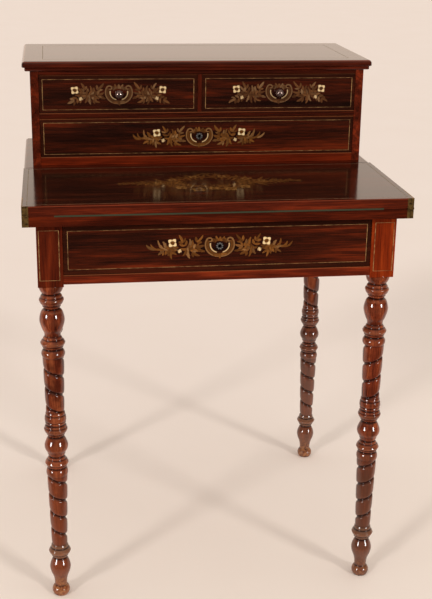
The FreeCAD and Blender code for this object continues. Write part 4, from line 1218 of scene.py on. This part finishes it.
# %% [markdown]
# ## Floor and light
#
# The desk stands on a wide pale floor under two soft lamps, one on each side of
# the camera, whose shadows cross behind it. Suns with a wide angle light a large
# floor evenly, which small lamps near the desk would not, and the sky gives the
# rest of the light. The floor near the desk is painted paler, a painted pool of
# lamplight. Polish shows whatever stands round it: a pale wall behind the desk
# and a dark room behind the camera, so the floor far in front and the front of
# the sky are dark, but only for mirrored rays. Wide screens give the turnings
# their glints. Light linking keeps them to the legs and knobs, so that no flat
# top is dazzled.

# %% Make the floor
FLOOR_COLOUR, WALL_COLOUR, DARK_ROOM = srgb(239, 224, 213), srgb(254, 230, 210), srgb(44, 38, 36)
NEAR_FLOOR_PAINTED_LIGHT, FLOOR_SPECK = srgb(249, 234, 221), srgb(228, 209, 193)
FLOOR_HALF, FLOOR_SQUARES = 40, 8

place = new_finish("pale_floor")
y = split(place)[1]
# The floor near the desk is painted paler: a painted pool of lamplight.
near = blend(slope(y, 1.2, -0.4), FLOOR_COLOUR, NEAR_FLOOR_PAINTED_LIGHT)
tint = blend(noise(place, 3.0, 2.0) * 0.25, near, FLOOR_SPECK)
mirrored = place.node("ShaderNodeLightPath", output="Is Glossy Ray")
seen_floor = blend(mirrored * slope(y, -0.2, -0.5), tint, DARK_ROOM)
floor_finish = surface(seen_floor, 0.9, None, Specular_IOR_Level=0.0)

mesh = bmesh.new()
bmesh.ops.create_grid(mesh, x_segments=FLOOR_SQUARES, y_segments=FLOOR_SQUARES, size=FLOOR_HALF)
floor = meshed("floor", mesh, floor_finish)
print("floor laid")

# %% Light the studio
# How high a lamp or a screen stands in degrees, how strong it is, and how wide it looks in degrees.
LAMP = {"height": 24, "strength": 1.0, "spread": 9}
SCREEN = {"height": 10, "strength": 1.4, "spread": 13}
SKY_LIGHT, SKY_STRENGTH = srgb(255, 250, 245), 0.75


def sun(name, azimuth, height, strength, spread):
    """A soft lamp. An azimuth of 0 is in front of the desk, 90 on its right."""
    data = bpy.data.lights.new(name, "SUN")
    data.energy = strength
    data.angle = math.radians(spread)
    lamp = add(name, data)
    turn, rise = math.radians(azimuth), math.radians(height)
    source = Vector((math.sin(turn) * math.cos(rise), -math.cos(turn) * math.cos(rise), math.sin(rise)))
    lamp.rotation_mode = "QUATERNION"
    lamp.rotation_quaternion = source.to_track_quat("Z", "Y")
    return lamp


for name, azimuth in (("lamp_left", -45), ("lamp_right", 37)):
    sun(name, azimuth, **LAMP).visible_glossy = False

turnings = bpy.data.collections.new("turnings")
for turning in turned:
    turnings.objects.link(turning)
for name, azimuth in (("screen_left", -56), ("screen_right", 40)):
    screen = sun(name, azimuth, **SCREEN)
    screen.visible_diffuse = False
    screen.light_linking.receiver_collection = turnings

world = bpy.data.worlds.new("studio")
start = bare(world)
camera_ray, mirrored, passed = (
    start.node("ShaderNodeLightPath", output=f"Is {ray} Ray") for ray in ("Camera", "Glossy", "Transmission")
)
_, y, z = split(start.node("ShaderNodeTexCoord", output="Generated"))
pale = start.math("MAXIMUM", slope(y, 0.1, 0.5), slope(z, 0.35, 0.8) * 0.35)
walls = blend(mirrored, FLOOR_COLOUR, blend(pale, DARK_ROOM, WALL_COLOUR))
seen = start.math("MINIMUM", camera_ray + mirrored + passed, 1.0)
fill = start.node("ShaderNodeBackground", {}, {"Color": SKY_LIGHT, "Strength": SKY_STRENGTH})
room = start.node("ShaderNodeBackground", {}, {"Color": walls, "Strength": 1.0})
both = start.node("ShaderNodeMixShader", {}, {0: seen, 1: fill, 2: room})
start.node("ShaderNodeOutputWorld", {}, {"Surface": both})
bpy.context.scene.world = world
bpy.context.scene.view_settings.view_transform = "Standard"
print("stage: floor, 2 lamps, 2 screens, sky")
